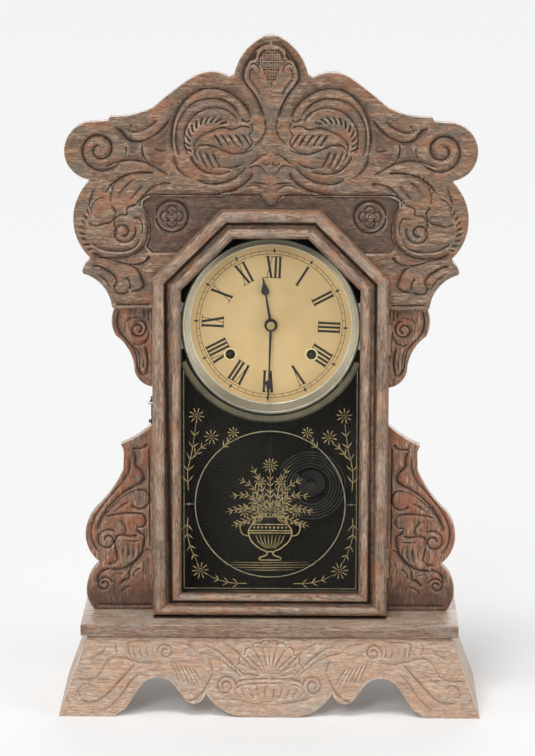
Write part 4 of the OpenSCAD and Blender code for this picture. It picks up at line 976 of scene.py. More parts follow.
@dataclass
class CarvedBoard:
    """A board whose front face is carved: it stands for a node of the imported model."""

    node: str
    finish: Finish
    relief: Relief
    pitch: float = 0.85
    wear: float = 0.7
    wear_width: float = 1.6
    foot: float = 0.0
    body: str = "case"
    points: np.ndarray = field(init=False, repr=False)
    faces: list = field(init=False, repr=False)

    def build(self) -> Piece:
        """Builds the carved board in place of its node.

        Returns:
            The new object.
        """
        front, origin, normal, rise = self._front_face()
        loops = self._loops([self.faces[i] for i in front])
        flat = (self.points - origin) @ np.column_stack([(1.0, 0.0, 0.0), rise])
        cell = np.vstack([np.column_stack([flat[loop], flat[np.roll(loop, -1)]]) for loop in loops])
        spread = self._spread([flat[loop] for loop in loops])
        corner = np.concatenate(loops)
        marks = {n: i for i, n in enumerate(corner)}
        edges = [(marks[a], marks[b]) for loop in loops for a, b in zip(loop, [*loop[1:], loop[0]])]
        plan = np.vstack([flat[corner], spread])
        found = delaunay_2d_cdt([Vector(p) for p in plan], edges, [], 1, 1e-5)
        net = np.array([tuple(v) for v in found[0]])
        gap = self._rim_gap(cell, net)
        depth = np.maximum(self.relief.depth(self._to_height(net, rise)),
                           self.wear * np.clip(1 - gap / self.wear_width, 0, 1) ** 2)
        face = origin + np.outer(net[:, 0], (1.0, 0.0, 0.0)) + np.outer(net[:, 1], rise)
        carved = face - np.outer(depth, normal)
        carved[:, 2] = np.maximum(carved[:, 2], 0.0)
        return self._join(front, net, carved, found, corner, rise)

    def _to_height(self, net: np.ndarray, rise: np.ndarray) -> np.ndarray:
        """Turns distances up the face into heights above the floor."""
        return np.column_stack([net[:, 0], net[:, 1] * rise[2]])

    def _front_face(self) -> tuple[np.ndarray, np.ndarray, np.ndarray, np.ndarray]:
        """Reads the node and finds its largest face towards the front.

        Returns:
            Numbers of its faces, a point on it with X and Z at 0, its outward normal and its upward
            direction.
        """
        mesh = frame["nodes"][self.node].data
        raw = np.empty(len(mesh.vertices) * 3, np.float32)
        mesh.vertices.foreach_get("co", raw)
        raw = raw.reshape(-1, 3).astype(float) / MM
        _, first, same = np.unique(np.round(raw, 3), axis=0, return_index=True, return_inverse=True)
        same = same.reshape(-1)
        self.points = raw[first]
        self.faces = [tuple(same[v] for v in p.vertices) for p in mesh.polygons]
        self.faces = [f for f in self.faces if len(set(f)) == len(f)]
        tri = np.array([f[:3] for f in self.faces])
        a, b, c = self.points[tri[:, 0]], self.points[tri[:, 1]], self.points[tri[:, 2]]
        cross = np.cross(b - a, c - a)
        size = np.linalg.norm(cross, axis=1)
        unit = cross / np.maximum(size, 1e-9)[:, None]
        main = np.where(unit[:, 1] < -0.8, size, 0).argmax()
        normal = unit[main]
        level = (self.points[tri] @ normal).mean(1)
        front = np.where((unit @ normal > 0.9995) & (np.abs(level - level[main]) < 0.02))[0]
        rise = np.cross(normal, (-1.0, 0.0, 0.0))
        rise /= np.linalg.norm(rise)
        if rise[2] < 0:
            rise = -rise
        origin = np.array((0.0, level[main] / normal[1], 0.0))
        return front, origin, normal, rise

    @staticmethod
    def _loops(faces: list) -> list[np.ndarray]:
        """Returns the closed border loops of a group of faces.

        Args:
            faces: The faces as rows of point numbers.

        Returns:
            The point numbers of each loop in order.
        """
        arrows = {(f[i], f[(i + 1) % len(f)]) for f in faces for i in range(len(f))}
        onward = {a: b for a, b in arrows if (b, a) not in arrows}
        loops = []
        while onward:
            start = next(iter(onward))
            loop = [start]
            step = onward.pop(start)
            while step != start:
                loop.append(step)
                step = onward.pop(step)
            loops.append(np.array(loop))
        return loops

    def _spread(self, loops: list[np.ndarray]) -> np.ndarray:
        """Spreads points over the face, closer to a regular net away from the carved lines.

        Args:
            loops: Outlines of the front in its plane.

        Returns:
            The points that fall on the face, one to a row.
        """
        whole = np.vstack(loops)
        low, high = whole.min(0), whole.max(0)
        x, z = np.meshgrid(np.arange(low[0], high[0], self.pitch),
                           np.arange(low[1], high[1], self.pitch * 0.866))
        x[1::2] += self.pitch / 2
        net = np.column_stack([x.ravel(), z.ravel()])
        guide = self.relief.guide()
        guide = guide * (1.0, 1.0 / self._rise_share)
        cells = {tuple(c) for c in np.floor(guide / (self.pitch * 0.75)).astype(int)}
        taken = np.array([tuple(c) in cells for c in np.floor(net / (self.pitch * 0.75)).astype(int)])
        seen: set = set()
        kept = []
        for p in guide:
            cell = (int(p[0] // 0.5), int(p[1] // 0.5))
            if cell not in seen:
                seen.add(cell)
                kept.append(p)
        net = np.vstack([net[~taken], kept])
        held = np.zeros(len(net), bool)
        for loop in loops:
            held ^= inside(loop, net)
        net = net[held]
        edge = np.vstack([np.column_stack([loop, np.roll(loop, -1, 0)]) for loop in loops])
        return net[self._rim_gap(edge, net) > 0.45]

    @property
    def _rise_share(self) -> float:
        """Height gained for each millimetre up the face."""
        return 1.0

    @staticmethod
    def _rim_gap(edge: np.ndarray, net: np.ndarray) -> np.ndarray:
        """Measures how far points lie from the outline.

        Args:
            edge: The outline's edges, each a row with the places of its two ends.
            net: Points in the plane, one to a row.

        Returns:
            Distance of each point from the nearest edge.
        """
        gap = np.full(len(net), 1e9)
        for ax, az, bx, bz in edge:
            low, high = (min(ax, bx) - 3, min(az, bz) - 3), (max(ax, bx) + 3, max(az, bz) + 3)
            near = ((net > low) & (net < high)).all(1)
            p = net[near] - (ax, az)
            d = np.array((bx - ax, bz - az))
            t = np.clip(p @ d / max(d @ d, 1e-12), 0, 1)
            gap[near] = np.minimum(gap[near], np.linalg.norm(p - np.outer(t, d), axis=1))
        return gap

    def _join(self, front: np.ndarray, net: np.ndarray, carved: np.ndarray, found: tuple,
              corner: np.ndarray, rise: np.ndarray) -> Piece:
        """Joins the carved face to the node's other faces.

        Args:
            front: Numbers of the node's faces that the carving stands for.
            net: Plan of the carved face.
            carved: The carved face's points.
            found: What the triangulation returned.
            corner: The node's points along the outline, in the order that they were given.
            rise: Direction up the face.

        Returns:
            The new object.
        """
        number = np.full(len(net), -1)
        for new, olds in enumerate(found[3]):
            for old in olds:
                if old < len(corner):
                    number[new] = corner[old]
        points = list(self.points)
        for new in range(len(net)):
            if number[new] >= 0:
                points[number[new]] = carved[new]
            else:
                number[new] = len(points)
                points.append(carved[new])
        skip = set(front.tolist())
        faces = [f for i, f in enumerate(self.faces) if i not in skip]
        walls = len(faces)
        faces += [tuple(int(number[v]) for v in f) for f in found[2]]
        piece = make_piece(f"{self.node}_carved", points, faces, self.finish, self.body, True)
        dip = np.zeros(len(points))
        height = self._to_height(net, rise)
        # The dip darkens with the carving's depth, as dirt and painted shade; below the foot it also darkens
        # towards the bottom.
        dip[number] = np.maximum(np.clip(self.relief.depth(height) / 2.1 - 0.22, 0, 1),
                                 np.clip((self.foot - height[:, 1]) / 26.0, 0, 0.85))
        self._mark(piece, walls, dip)
        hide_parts(self.node)
        return piece

    @staticmethod
    def _mark(piece: Piece, walls: int, dip: np.ndarray) -> None:
        """Marks sharp edges, and stores how far each point is a ridge, a hollow or a dip.

        Args:
            piece: The carved board.
            walls: How many of its faces, the first ones, aren't carved.
            dip: Depth of the carving at each point, from 0 to 1.
        """
        mesh = piece.data
        bm = bmesh.new()
        bm.from_mesh(mesh)
        bm.faces.ensure_lookup_table()
        for edge in bm.edges:
            cut = [f.index >= walls for f in edge.link_faces]
            edge.smooth = all(cut) or edge.calc_face_angle(0.0) < RIM_CREASE
        bend = np.zeros(len(bm.verts))
        for v in bm.verts:
            if len(v.link_edges) > 2 and any(f.index >= walls for f in v.link_faces):
                mean = sum((e.other_vert(v).co for e in v.link_edges), Vector()) / len(v.link_edges)
                reach = sum(e.calc_length() for e in v.link_edges) / len(v.link_edges)
                bend[v.index] = (v.co - mean).dot(v.normal) / max(reach, 1e-6)
        pairs = np.array([(e.verts[0].index, e.verts[1].index) for e in bm.edges])
        bm.to_mesh(mesh)
        bm.free()
        # Hollows, spread to their neighbours, are darkened in the shader as dirt and painted shade.
        hollow = np.clip(-bend * 3.0 - 0.10, 0, 1)
        spread = np.zeros(len(bend))
        count = np.zeros(len(bend))
        for a, b in (pairs.T, pairs.T[::-1]):
            np.add.at(spread, a, hollow[b])
            np.add.at(count, a, 1)
        hollow = np.clip(0.75 * hollow + 0.8 * spread / np.maximum(count, 1), 0, 1)
        # Ridges are lightened in the shader as wear and painted highlight.
        for name, values in (("ridge", np.clip(bend * 3.4 - 0.12, 0, 1)), ("hollow", hollow), ("dip", dip)):
            mesh.attributes.new(name, "FLOAT", "POINT").data.foreach_set("value", values.astype(np.float32))


@dataclass
class LeaningBoard(CarvedBoard):
    """A carved board that leans back, so that its carving is drawn by height above the floor."""

    lean: float = 15.2

    @property
    def _rise_share(self) -> float:
        """Height gained for each millimetre up the face."""
        return math.cos(math.radians(self.lean))


def gouges(at: Point, outer: float, inner: float, start: float, end: float, count: int, skew: float,
           depth: float = 1.4) -> list[Cut]:
    """Returns short gouge cuts fanned round a centre.

    Args:
        at: Centre of the fan.
        outer: Radius of their outer ends.
        inner: Radius of their inner ends.
        start: Angle of the first, in degrees.
        end: Angle of the last.
        count: How many there are.
        skew: How far each inner end is turned on.
        depth: Depth of the cuts.

    Returns:
        The cuts.
    """
    cuts = []
    for i in range(count):
        a = start + (end - start) * i / max(count - 1, 1)
        middle = (outer + inner) / 2
        cuts.append(Cut([spot(at, outer, a), spot(at, middle, a + skew * 0.45), spot(at, inner, a + skew)],
                        depth, 1.5, 1.5, True))
    return cuts


def crest_relief() -> Relief:
    """Returns the crest's carving: a palmette, two scrolls, ribbons, rosettes, lobes and leaves.

    Returns:
        The grooves and the sunk fields.
    """
    palmette = [(0, 566), (7, 564.5), (12, 561), (16, 555), (20, 549), (22.5, 543), (23, 536.5),
                (20, 531), (15.5, 525.5), (11.5, 519), (8, 511), (5.5, 503)]
    panel = [(0, 431.5), (4, 432.5), (8, 436), (12, 438.3), (40, 438.6), (70, 438.6), (100, 438.6),
             (105.5, 437.3), (109, 433.5), (109, 428.5)]
    cuts = [
        Cut(palmette, 2.0, 3.5, 1.5),
        Cut([(18, 548.5), (13.5, 549), (10.5, 546.5), (9.5, 541)], 1.0),
        Cut([(14.5, 546.5), (17.5, 542), (17.5, 536), (13, 530), (9, 523)], 0.8),
        Cut([(4.5, 560.5), (8, 558), (10, 553)], 0.8),
        Cut([(17, 502), (18.5, 508), (22.5, 514.5), (29, 520.5), (38, 526), (48, 528), (58, 527),
             (67, 522.5), (75, 514), (80, 504), (82.5, 494), (83, 484), (81.5, 474)], 1.9, 5.5, 1.8),
        Cut([(25, 503.5), (28, 509), (34, 515.5), (43, 519.5), (54, 519.5), (65, 516), (73, 508),
             (78, 499), (79.5, 489), (79, 479), (76, 471)], 1.4, 1.6, 4.0),
        Cut([(17, 502), (20, 500.5), (23.5, 501.5), (25, 503.5)], 1.3),
        Cut([(62, 452), (54, 448.5), (44, 448.2), (35, 450.5), (27, 455.5), (20, 462.5)], 1.5, 1.6, 3.5),
        Cut([(15, 458), (18, 452.5), (24, 447), (32, 442.5), (42, 440), (54, 438.8)], 1.8, 2.2, 2.6),
        Cut([(21, 467), (27, 463), (35, 461.5), (43, 462.5)], 1.2, 3, 1.5, True),
        Cut([(33, 459), (42, 456.5), (51, 457), (58, 459.5), (64, 465), (68, 472)], 1.3, 2.5, 1.5),
        Cut([(27, 500), (31, 505.5), (38, 510.5), (48, 512), (58, 509.5), (66, 503.5), (71, 495.5),
             (72.5, 487), (71.5, 479), (68.5, 472)], 1.3, 3.0, 1.6),
        Cut([(15, 495), (24, 497), (32, 494), (41, 495.5), (51, 492), (59, 488), (64, 481), (63, 472)],
            1.2, 1.6, 2.6),
        Cut([(15, 478), (22, 474.5), (32, 473.5), (42, 477), (51, 480.5), (60, 480), (63.5, 474),
             (60, 466)], 1.3),
        Cut([(17, 500), (15.5, 494), (18, 489), (16, 483), (20, 477), (27, 473)], 1.0),
        Cut([(0, 446), (6, 448.5), (12, 449), (22, 449.5)], 1.1, 1.5, 2.5, True),
        Cut([(3, 440), (9, 445.5), (16, 447), (23, 444)], 1.0, 2.5, 1.4, True),
        Cut([(0, 455), (5, 458), (9, 463), (16, 463), (24, 459)], 1.0, 1.4, 2.5, True),
        Cut([(5.5, 503), (4.5, 495), (7.5, 487), (14, 480)], 1.0, 1.5, 3),
        Cut([(0, 474), (7, 472.5), (13, 468), (21, 461.5)], 1.0, 2.5, 1.5, True),
        Cut([(0, 466), (4, 464), (8, 466)], 0.9),
        Cut(panel, 1.7, 2.4, 1.3),
        Cut([(86, 455.5), (95, 460.5), (103, 465), (113, 467.5), (122, 467.5), (131, 465), (140, 461.5)],
            1.5, 4, 1.8),
        Cut([(98, 457.5), (110, 457.5), (120, 455.5), (128, 451.5), (134, 446.5), (139, 440)], 1.6, 1.5,
            2.5),
        Cut([(83, 448.5), (92, 448.2), (100, 444.5), (106, 438.5), (113, 431)], 1.3, 1.6, 3),
        Cut([(107, 447.5), (112.5, 441), (118, 434)], 1.1, 1.5, 2.5, True),
        Cut([(114, 452.5), (121, 446.5), (128, 438)], 1.1, 1.5, 2.5, True),
        Cut([(128, 453.5), (132, 446), (134, 438), (134, 430)], 1.2, 1.5, 2.5, True),
        Cut([(109, 428.5), (105, 422), (103, 412), (103.5, 402), (107, 394.5), (112, 390), (121, 386),
             (132, 384.5), (142, 385.5), (151, 390)], 2.0, 2.4, 5),
        Cut([(112, 431), (120, 427.5), (121, 422), (128, 421), (131.5, 415), (129.5, 407), (132, 401)],
            1.3),
        Cut([(134, 430), (130, 423), (133, 416), (141, 413.5), (148, 412), (154, 415)], 1.2, 2.2, 1.5),
        Cut([(147, 446), (150, 438), (152, 431), (150.5, 424)], 1.2, 1.5, 2.5, True),
        Cut([(139, 437), (146, 434.5), (150.5, 429), (151, 421)], 1.0, 1.5, 2.0, True),
        Cut([(110, 402), (113, 395.5), (120, 391.5), (131, 390.5), (142, 392.5), (151, 398)], 1.2, 3.0,
            1.4),
        Cut([(118, 418), (111, 419), (107.5, 412), (108.5, 403)], 1.0, 2.0, 1.4, True),
        Cut(volute((124, 407), 11.5, 2.5, 150, 1.45), 1.3, 2.2, 1.5),
        Cut(volute((143, 476.5), 20.5, 3.0, 200, 1.75), 1.8, 2.6, 1.8),
        Cut([(84, 503.5), (90, 495.5), (98, 488.5), (106, 484.5), (114, 483.5), (120.5, 486.5),
             (124.5, 492), (131, 496)], 1.9, 1.8, 4),
        Cut([(95, 502), (100, 497), (107, 493), (114, 491.5), (119.5, 493.5), (123, 492.5)], 1.2, 3, 1.5),
        Cut([(119, 490.5), (118, 495), (115, 498)], 1.0),
        Cut([(107, 483.5), (107.5, 477), (106, 470.5), (101.5, 464)], 1.5, 2.5, 1.5),
        Cut([(121, 480), (121, 474), (122.5, 469.5)], 1.1),
        Cut([(86, 477.5), (90, 475.5), (95, 476), (98, 478)], 0.8, 1.6, 1.2, True),
        Cut([(102, 387.5), (104.5, 383), (110, 379.8), (118, 379.3), (126, 381), (135, 384)], 1.6, 1.8,
            3.5),
        Cut([(150, 385.5), (140, 384.5), (130, 382), (121, 379.3), (114, 376.5), (110, 371.5), (108, 366),
             (106.5, 361.5), (110, 358), (119, 356.5)], 1.6, 1.8, 3.5),
        Cut([(119, 357), (124, 354.5), (129.5, 355.5), (131.5, 359.5), (129.5, 365), (132, 370),
             (138, 374.5), (144.5, 378), (150, 378.5)], 1.6, 1.8, 2.5),
        Cut([(118.5, 358), (118.5, 363.5), (121.5, 369)], 1.0),
        Cut([(134, 358), (139, 366), (147, 372)], 1.0, 1.5, 1.5, True),
        Cut([(101, 345.5), (116, 345.2), (131, 345.5)], 1.1),
        Cut(arc((83, 420.2), 13.4, 0, 360), 1.7, 1.5, 1.8),
    ]
    cuts += [Cut(arc(spot((83, 420.2), 4.9, a), 4.1, a - 150, a + 150, 14), 1.0, 1.3, 1.8)
             for a in (0, 90, 180, 270)]
    cuts += [Cut(arc((83, 420.2), 1.5, 0, 360, 10), 0.9, 1.2, 1.0)]
    cuts += gouges((50, 482), 23.5, 17.0, 128, -8, 11, -16, 1.6)
    cuts += [Cut([(x, 479.5), (x + 3.2, 485), (x + 7.2, 490.5)], 1.6, 1.5, 1.5, True)
             for x in (17, 23, 29, 35, 41)]
    cuts += [Cut([(x - 4, 460.5), (x, 468), (x + 3.5, 476)], 1.6, 1.6, 1.6, True) for x in (46, 51.5, 57)]
    cuts += gouges((118, 436), 21.0, 15.5, 78, 22, 5, -14, 1.4)
    cuts += gouges((133, 409), 28.0, 22.0, 40, -38, 8, -8, 1.2)
    cuts += gouges((143, 476.5), 9.0, 5.0, 200, 330, 4, 20, 0.8)
    fields = [
        Sunk([(-4, 563), (0, 563), (7, 561), (11.5, 556), (12.5, 550), (8, 545), (4, 535), (0, 529),
              (-4, 529)], 0.5, 1.5, 2.0),
        Sunk([(11.5, 561), (15.5, 555.5), (18.5, 551), (14, 551.5), (11.5, 554.5)], 1.7, 1.2),
        Sunk([(81.5, 476), (84.5, 467), (80, 458.5), (72.5, 452.8), (62, 450.5), (70, 456), (76, 463),
              (78, 470)], 1.2, 3.5),
        Sunk([(99, 464), (103, 470.5), (104.5, 477), (104.5, 484), (97, 486.5), (88, 494), (84.5, 499),
              (86, 488), (85.5, 474), (86.5, 464), (92, 461)], 0.7, 3.0),
        Sunk([(109, 482), (109.5, 471), (120, 470), (120, 482)], 0.7, 4.0),
        Sunk([(-4, 431), (0, 431), (4, 432), (8, 435.5), (12, 437.9), (100, 437.9), (107.5, 433.5),
              (108, 428.5), (104, 421), (102.3, 412), (102.6, 402), (105.5, 394.5), (100, 389),
              (-4, 389)], 1.15, 0.8),
    ]
    return Relief(cuts, fields, deeper=1.8, uneven=0.30)


def ear_relief() -> Relief:
    """Returns the ears' carving: a round boss over a long pod, with a raised border.

    Returns:
        The grooves and the sunk fields.
    """
    return Relief([
        Cut([(128.5, 339), (130, 330), (129, 322), (125.5, 316), (119.5, 309.5), (115.5, 304), (113.8, 298),
             (113, 290), (111, 284.5), (106.5, 280.5)], 1.4, 1.4, 2.6),
        Cut(volute((112.5, 322), 8.6, 2.0, 95, 1.5), 1.4, 1.5, 1.9),
        Cut([(103.2, 322), (103.8, 315), (107, 310.5), (112, 308.5), (117, 309.5)], 1.2, 1.6, 2.2),
        Cut([(106.5, 308), (104.8, 300), (104.3, 291), (106, 284), (109, 282.5), (111, 287), (111.5, 295),
             (113, 303), (117, 308)], 1.4, 1.4, 2.0),
        Cut([(103.5, 339), (103.5, 329)], 1.0, 1.3, 1.3), Cut([(106.8, 339), (106.8, 331)], 1.0, 1.3, 1.3),
        Cut([(108.5, 301), (108, 292), (109, 286)], 0.7, 1.5, 1.5, True),
        Cut([(106.8, 331), (113, 332.3), (120, 330.5), (124, 326)], 0.9, 1.6, 1.6, True),
    ], deeper=1.6)


def wing_relief() -> Relief:
    """Returns the wings' carving: an upright line, leaves, pods and two volutes inside a raised border.

    Returns:
        The grooves and the sunk fields.
    """
    cuts = [
        Cut([(103.3, 223), (103.3, 180), (103.3, 131)], 1.5, 1.3, 1.6),
        Cut([(104, 222.5), (109, 218.8), (118, 218)], 1.4),
        Cut([(118, 218), (115, 211), (114.8, 203.5), (110, 198), (108, 192), (111, 188), (118, 184.2),
             (126, 179.3), (133, 172.5), (139.5, 165), (145, 156), (148.5, 146)], 1.7, 2.0, 3.0),
        Cut([(120.5, 214), (120.3, 201), (124.5, 191.5), (131.5, 183), (140, 173), (147.5, 162.5),
             (152, 153), (153.5, 144), (151.5, 134), (146, 126)], 1.1, 1.8, 1.6),
        Cut(arc((111.5, 174), 8.3, 60, 330), 1.5, 1.5, 2.0),
        Cut([(107, 181), (113, 182.3), (121, 179.5), (129, 174), (137, 166), (143, 158), (147, 150)], 1.3,
            1.6, 2.6),
        Cut([(121, 171.5), (128, 168), (134, 162.5)], 1.4, 1.4, 2.2, True),
        Cut([(108, 161), (120, 161.8), (132, 160.5), (141, 158.5)], 1.4, 1.6, 1.6),
        Cut([(111, 162), (107.5, 158), (106.8, 153), (109.5, 149.5), (115, 149)], 1.5),
        Cut([(115, 149), (112, 144.5), (108, 141), (108.5, 133), (111, 125.5), (115.5, 119.5), (121, 115),
             (129, 112.2), (138, 112)], 1.8, 1.8, 3.2),
        Cut([(113, 142.5), (120, 141.3), (126, 142.3), (131.5, 141), (133.5, 135), (132, 127),
             (131, 121.5), (134, 117.5), (141, 116.5)], 1.5, 1.6, 2.0),
        Cut([(111.5, 137.5), (118, 136.8), (125, 137.5)], 0.9, 1.4, 1.4, True),
        Cut([(124.5, 142), (124, 149), (128.5, 156)], 1.0),
        Cut(volute((139.5, 137.5), 10.5, 2.5, 130, -1.4), 1.3, 1.6, 1.8),
        Cut([(103.3, 130), (108, 129), (112.5, 123), (118, 117), (121.3, 110.5), (121.5, 104.5),
             (126, 101.8), (130, 97.5)], 1.7, 1.8, 2.6),
        Cut([(137, 113), (142.5, 111), (147, 107), (148.8, 99.5)], 1.6, 1.8, 1.8),
        Cut(volute((142.5, 98.5), 7.5, 1.6, 170, -1.5), 1.4, 1.5, 1.6),
        Cut([(111.5, 113.5), (116.5, 110), (118.3, 104.5)], 1.1),
        Cut([(119, 97.8), (124, 96), (128.5, 91.5)], 1.0, 1.5, 1.5, True),
        Cut([(123, 111), (128, 108), (132, 108.5), (136, 105)], 0.9, 1.5, 1.5, True),
        Cut([(101, 81), (125, 80.5), (149, 81)], 0.8),
    ]
    cuts += [Cut([(113 + k * 4.5, 134), (112.5 + k * 4.6, 126), (114.5 + k * 4.4, 119.5)],
                 0.7, 1.5, 1.5, True)
             for k in range(4)]
    return Relief(cuts, deeper=1.7)


def base_relief() -> Relief:
    """Returns the base's shallow carving: a shell and volutes, fans, a leaf and the feet's arcs.

    Returns:
        The grooves and the sunk fields.
    """
    cuts = [
        Cut([(0, 31.5), (14, 31.3), (24, 30), (30, 26.5)], 1.1, 1.5, 1.5),
        Cut([(0, 28.3), (15, 28), (25, 25.5), (30, 22)], 0.8, 1.3, 1.3),
        Cut(volute((37, 25.5), 9.5, 2.0, 200, -1.8), 1.0, 1.5, 1.6),
        Cut([(20, 33.5), (28, 40.5), (36, 48), (46, 55), (57, 60)], 1.0, 1.6, 1.6),
        Cut([(13, 37), (18, 44), (25, 51), (33, 57), (40, 62)], 0.9, 1.5, 1.5),
        Cut([(23, 33), (32, 40), (41, 46), (52, 51), (60, 52)], 0.8, 1.5, 1.5),
        Cut([(48, 36), (52, 28), (56, 21), (62, 15.5), (69, 12.5)], 1.0, 1.5, 1.5),
        Cut([(52, 48), (49, 41), (48, 35)], 0.8, 1.5, 1.5, True),
        Cut(volute((88, 53), 8.0, 1.8, -30, 1.5), 0.9, 1.5, 1.5),
        Cut([(60, 52), (67, 58), (76, 60), (84, 62)], 0.8, 1.5, 1.5, True),
        Cut([(93, 45), (105, 44), (115, 45.5), (124, 48), (133, 48), (139, 43), (143, 36), (150, 31),
             (168, 30)], 0.9, 1.6, 1.6),
        Cut([(113, 44), (120, 36.5), (128, 28), (136, 19.5), (144, 13.5), (152, 11.8), (160, 13.5)], 1.2,
            1.6, 2.0),
        Cut([(110, 36), (118, 28), (125, 18), (133, 10), (139, 6)], 0.9, 1.5, 1.5),
        Cut([(166, 29), (171, 24), (172, 17), (168, 10.5)], 0.9, 1.5, 1.5, True),
        Cut([(148, 24), (155, 26.5), (161, 23), (161, 17.5), (156, 16)], 0.8, 1.5, 1.5, True),
        Cut([(130, 30), (140, 30.5), (150, 31)], 0.7, 1.5, 1.5, True),
        Cut([(100, 62), (118, 61.5), (119.5, 55), (117, 48)], 0.8, 1.5, 1.5),
        Cut([(128, 63), (130.5, 56), (127, 50)], 0.7, 1.5, 1.5, True),
        Cut([(138, 60), (141, 53), (147, 49.5), (153, 46)], 0.7, 1.5, 1.5, True),
        Cut([(0, 10.5), (14, 11.5), (26, 14), (36, 17), (44, 22)], 0.7, 1.5, 1.5, True),
        Cut([(0, 65.6), (40, 65.2), (80, 65.9), (125, 65.3), (172, 65.6)], 1.1, 2.0, 2.6),
    ]
    cuts += [Cut([spot((0, 33), 7, a), spot((0, 34), 17, a), spot((0, 34), 27, a)], 0.9, 1.4, 1.4, True)
             for a in (4, 22, 40, 58, 75, 90)]
    cuts += [Cut(arc(spot((0, 34), 25, a), 4.4, a - 80, a + 80, 10), 0.9, 1.3, 1.3)
             for a in (13, 31, 49, 66.5, 82.5)]
    cuts += [Cut([(x, 15), (x * 1.25, 20.5), (x * 1.35, 25.5)], 0.6, 1.3, 1.3, True)
             for x in (3, 8, 13, 18, 23)]
    cuts += [Cut([(55 + k * 4.2, 24 + k * 0.8), (60 + k * 4.0, 33 + k), (66 + k * 3.6, 41 + k)],
                 0.8, 1.4, 1.4, True)
             for k in range(6)]
    cuts += [Cut([(28 + k * 5, 37 + k * 2.6), (26 + k * 5, 43 + k * 2.4)], 0.7, 1.3, 1.3, True)
             for k in range(6)]
    cuts += [Cut([(96 + k * 5.5, 47.5), (99 + k * 5.5, 53), (98 + k * 5.5, 58.5)], 0.6, 1.3, 1.3, True)
             for k in range(4)]
    return Relief(cuts, deeper=1.5, uneven=0.16)


@dataclass
class Carving:
    """All carved boards of the case and the base."""

    wing_foot: float = 112.0
    base_wear: float = 0.6

    def build(self) -> None:
        """Carves the crest, the ears, the wings and the base front."""
        CarvedBoard("crest_board", OAK_CREST, crest_relief()).build()
        for side in ("left", "right"):
            CarvedBoard(f"ear_{side}", WING_OAK, ear_relief()).build()
            CarvedBoard(f"wing_{side}", WING_OAK, wing_relief(), foot=self.wing_foot).build()
        LeaningBoard("base_front", BASE_OAK, base_relief(), wear=self.base_wear).build()


# Plain boards and mouldings


PointTones = Callable[[np.ndarray], tuple[np.ndarray, np.ndarray, np.ndarray]]

# The door's groove, darkened as dirt and painted shade, and its inner slope, darkened as painted shade,
# measured inwards, and the fronts of its beads and slope
GROOVE = (8.7, 13.9)
INNER_SLOPE = 18.0
BEAD_Y_FRONT = -29.2
SLOPE_Y_FRONT = -29.4


def door_dirt_and_shade(points: np.ndarray) -> tuple[np.ndarray, np.ndarray, np.ndarray]:
    """Returns the door frame's marks: bead fronts lightened as wear and painted highlight, a groove darkened
    as dirt and painted shade, and an inner slope by the glass darkened as painted shade.

    Args:
        points: The mesh's points in millimetres.

    Returns:
        Ridge, hollow and dip of each point, from 0 to 1.
    """
    x, y, z = np.abs(points[:, 0]), points[:, 1], points[:, 2]
    inward = np.minimum.reduce([DOOR_HALF - x, DOOR_TOP - z, z - DOOR_LOW,
                                (DOOR_HALF + DOOR_TOP - DOOR_CUT - x - z) / math.sqrt(2)])
    outer_side, inner_side = GROOVE
    # Dirt and painted shade: the groove darkens, up the outer bead's flank.
    hollow = np.clip((inward - outer_side) / 1.8, 0, 1) * np.clip((inner_side - inward) / 1.1, 0, 1)
    # Wear and painted highlight: the bead fronts lighten.
    worn = np.clip((BEAD_Y_FRONT - y) / 1.6, 0, 0.5)
    # Painted shade: the inner slope darkens towards the glass.
    slope_shade = np.clip((y - SLOPE_Y_FRONT) / 3.5, 0, 0.9)
    return worn, hollow, np.where(inward > INNER_SLOPE, slope_shade, 0.0)


def shelf_edge_tone(points: np.ndarray) -> tuple[np.ndarray, np.ndarray, np.ndarray]:
    """Returns the shelf's front edge tone: its front edge is darker and redder than its top.

    Args:
        points: The mesh's points in millimetres.

    Returns:
        Ridge, hollow and dip of each point, from 0 to 1.
    """
    front = points[:, 1].min() + 0.2
    clean = np.zeros(len(points))
    return clean, clean, np.where(points[:, 1] < front, 0.5, 0.0)


def back_dark_inside(points: np.ndarray) -> tuple[np.ndarray, np.ndarray, np.ndarray]:
    """Returns the backboard's marks: its inner face is near-black, partly a dark stain and partly painted
    shade of the closed case; its outer face is bare wood.
    """
    clean = np.zeros(len(points))
    return clean, np.where(points[:, 1] < points[:, 1].mean(), 1.0, 0.0), clean


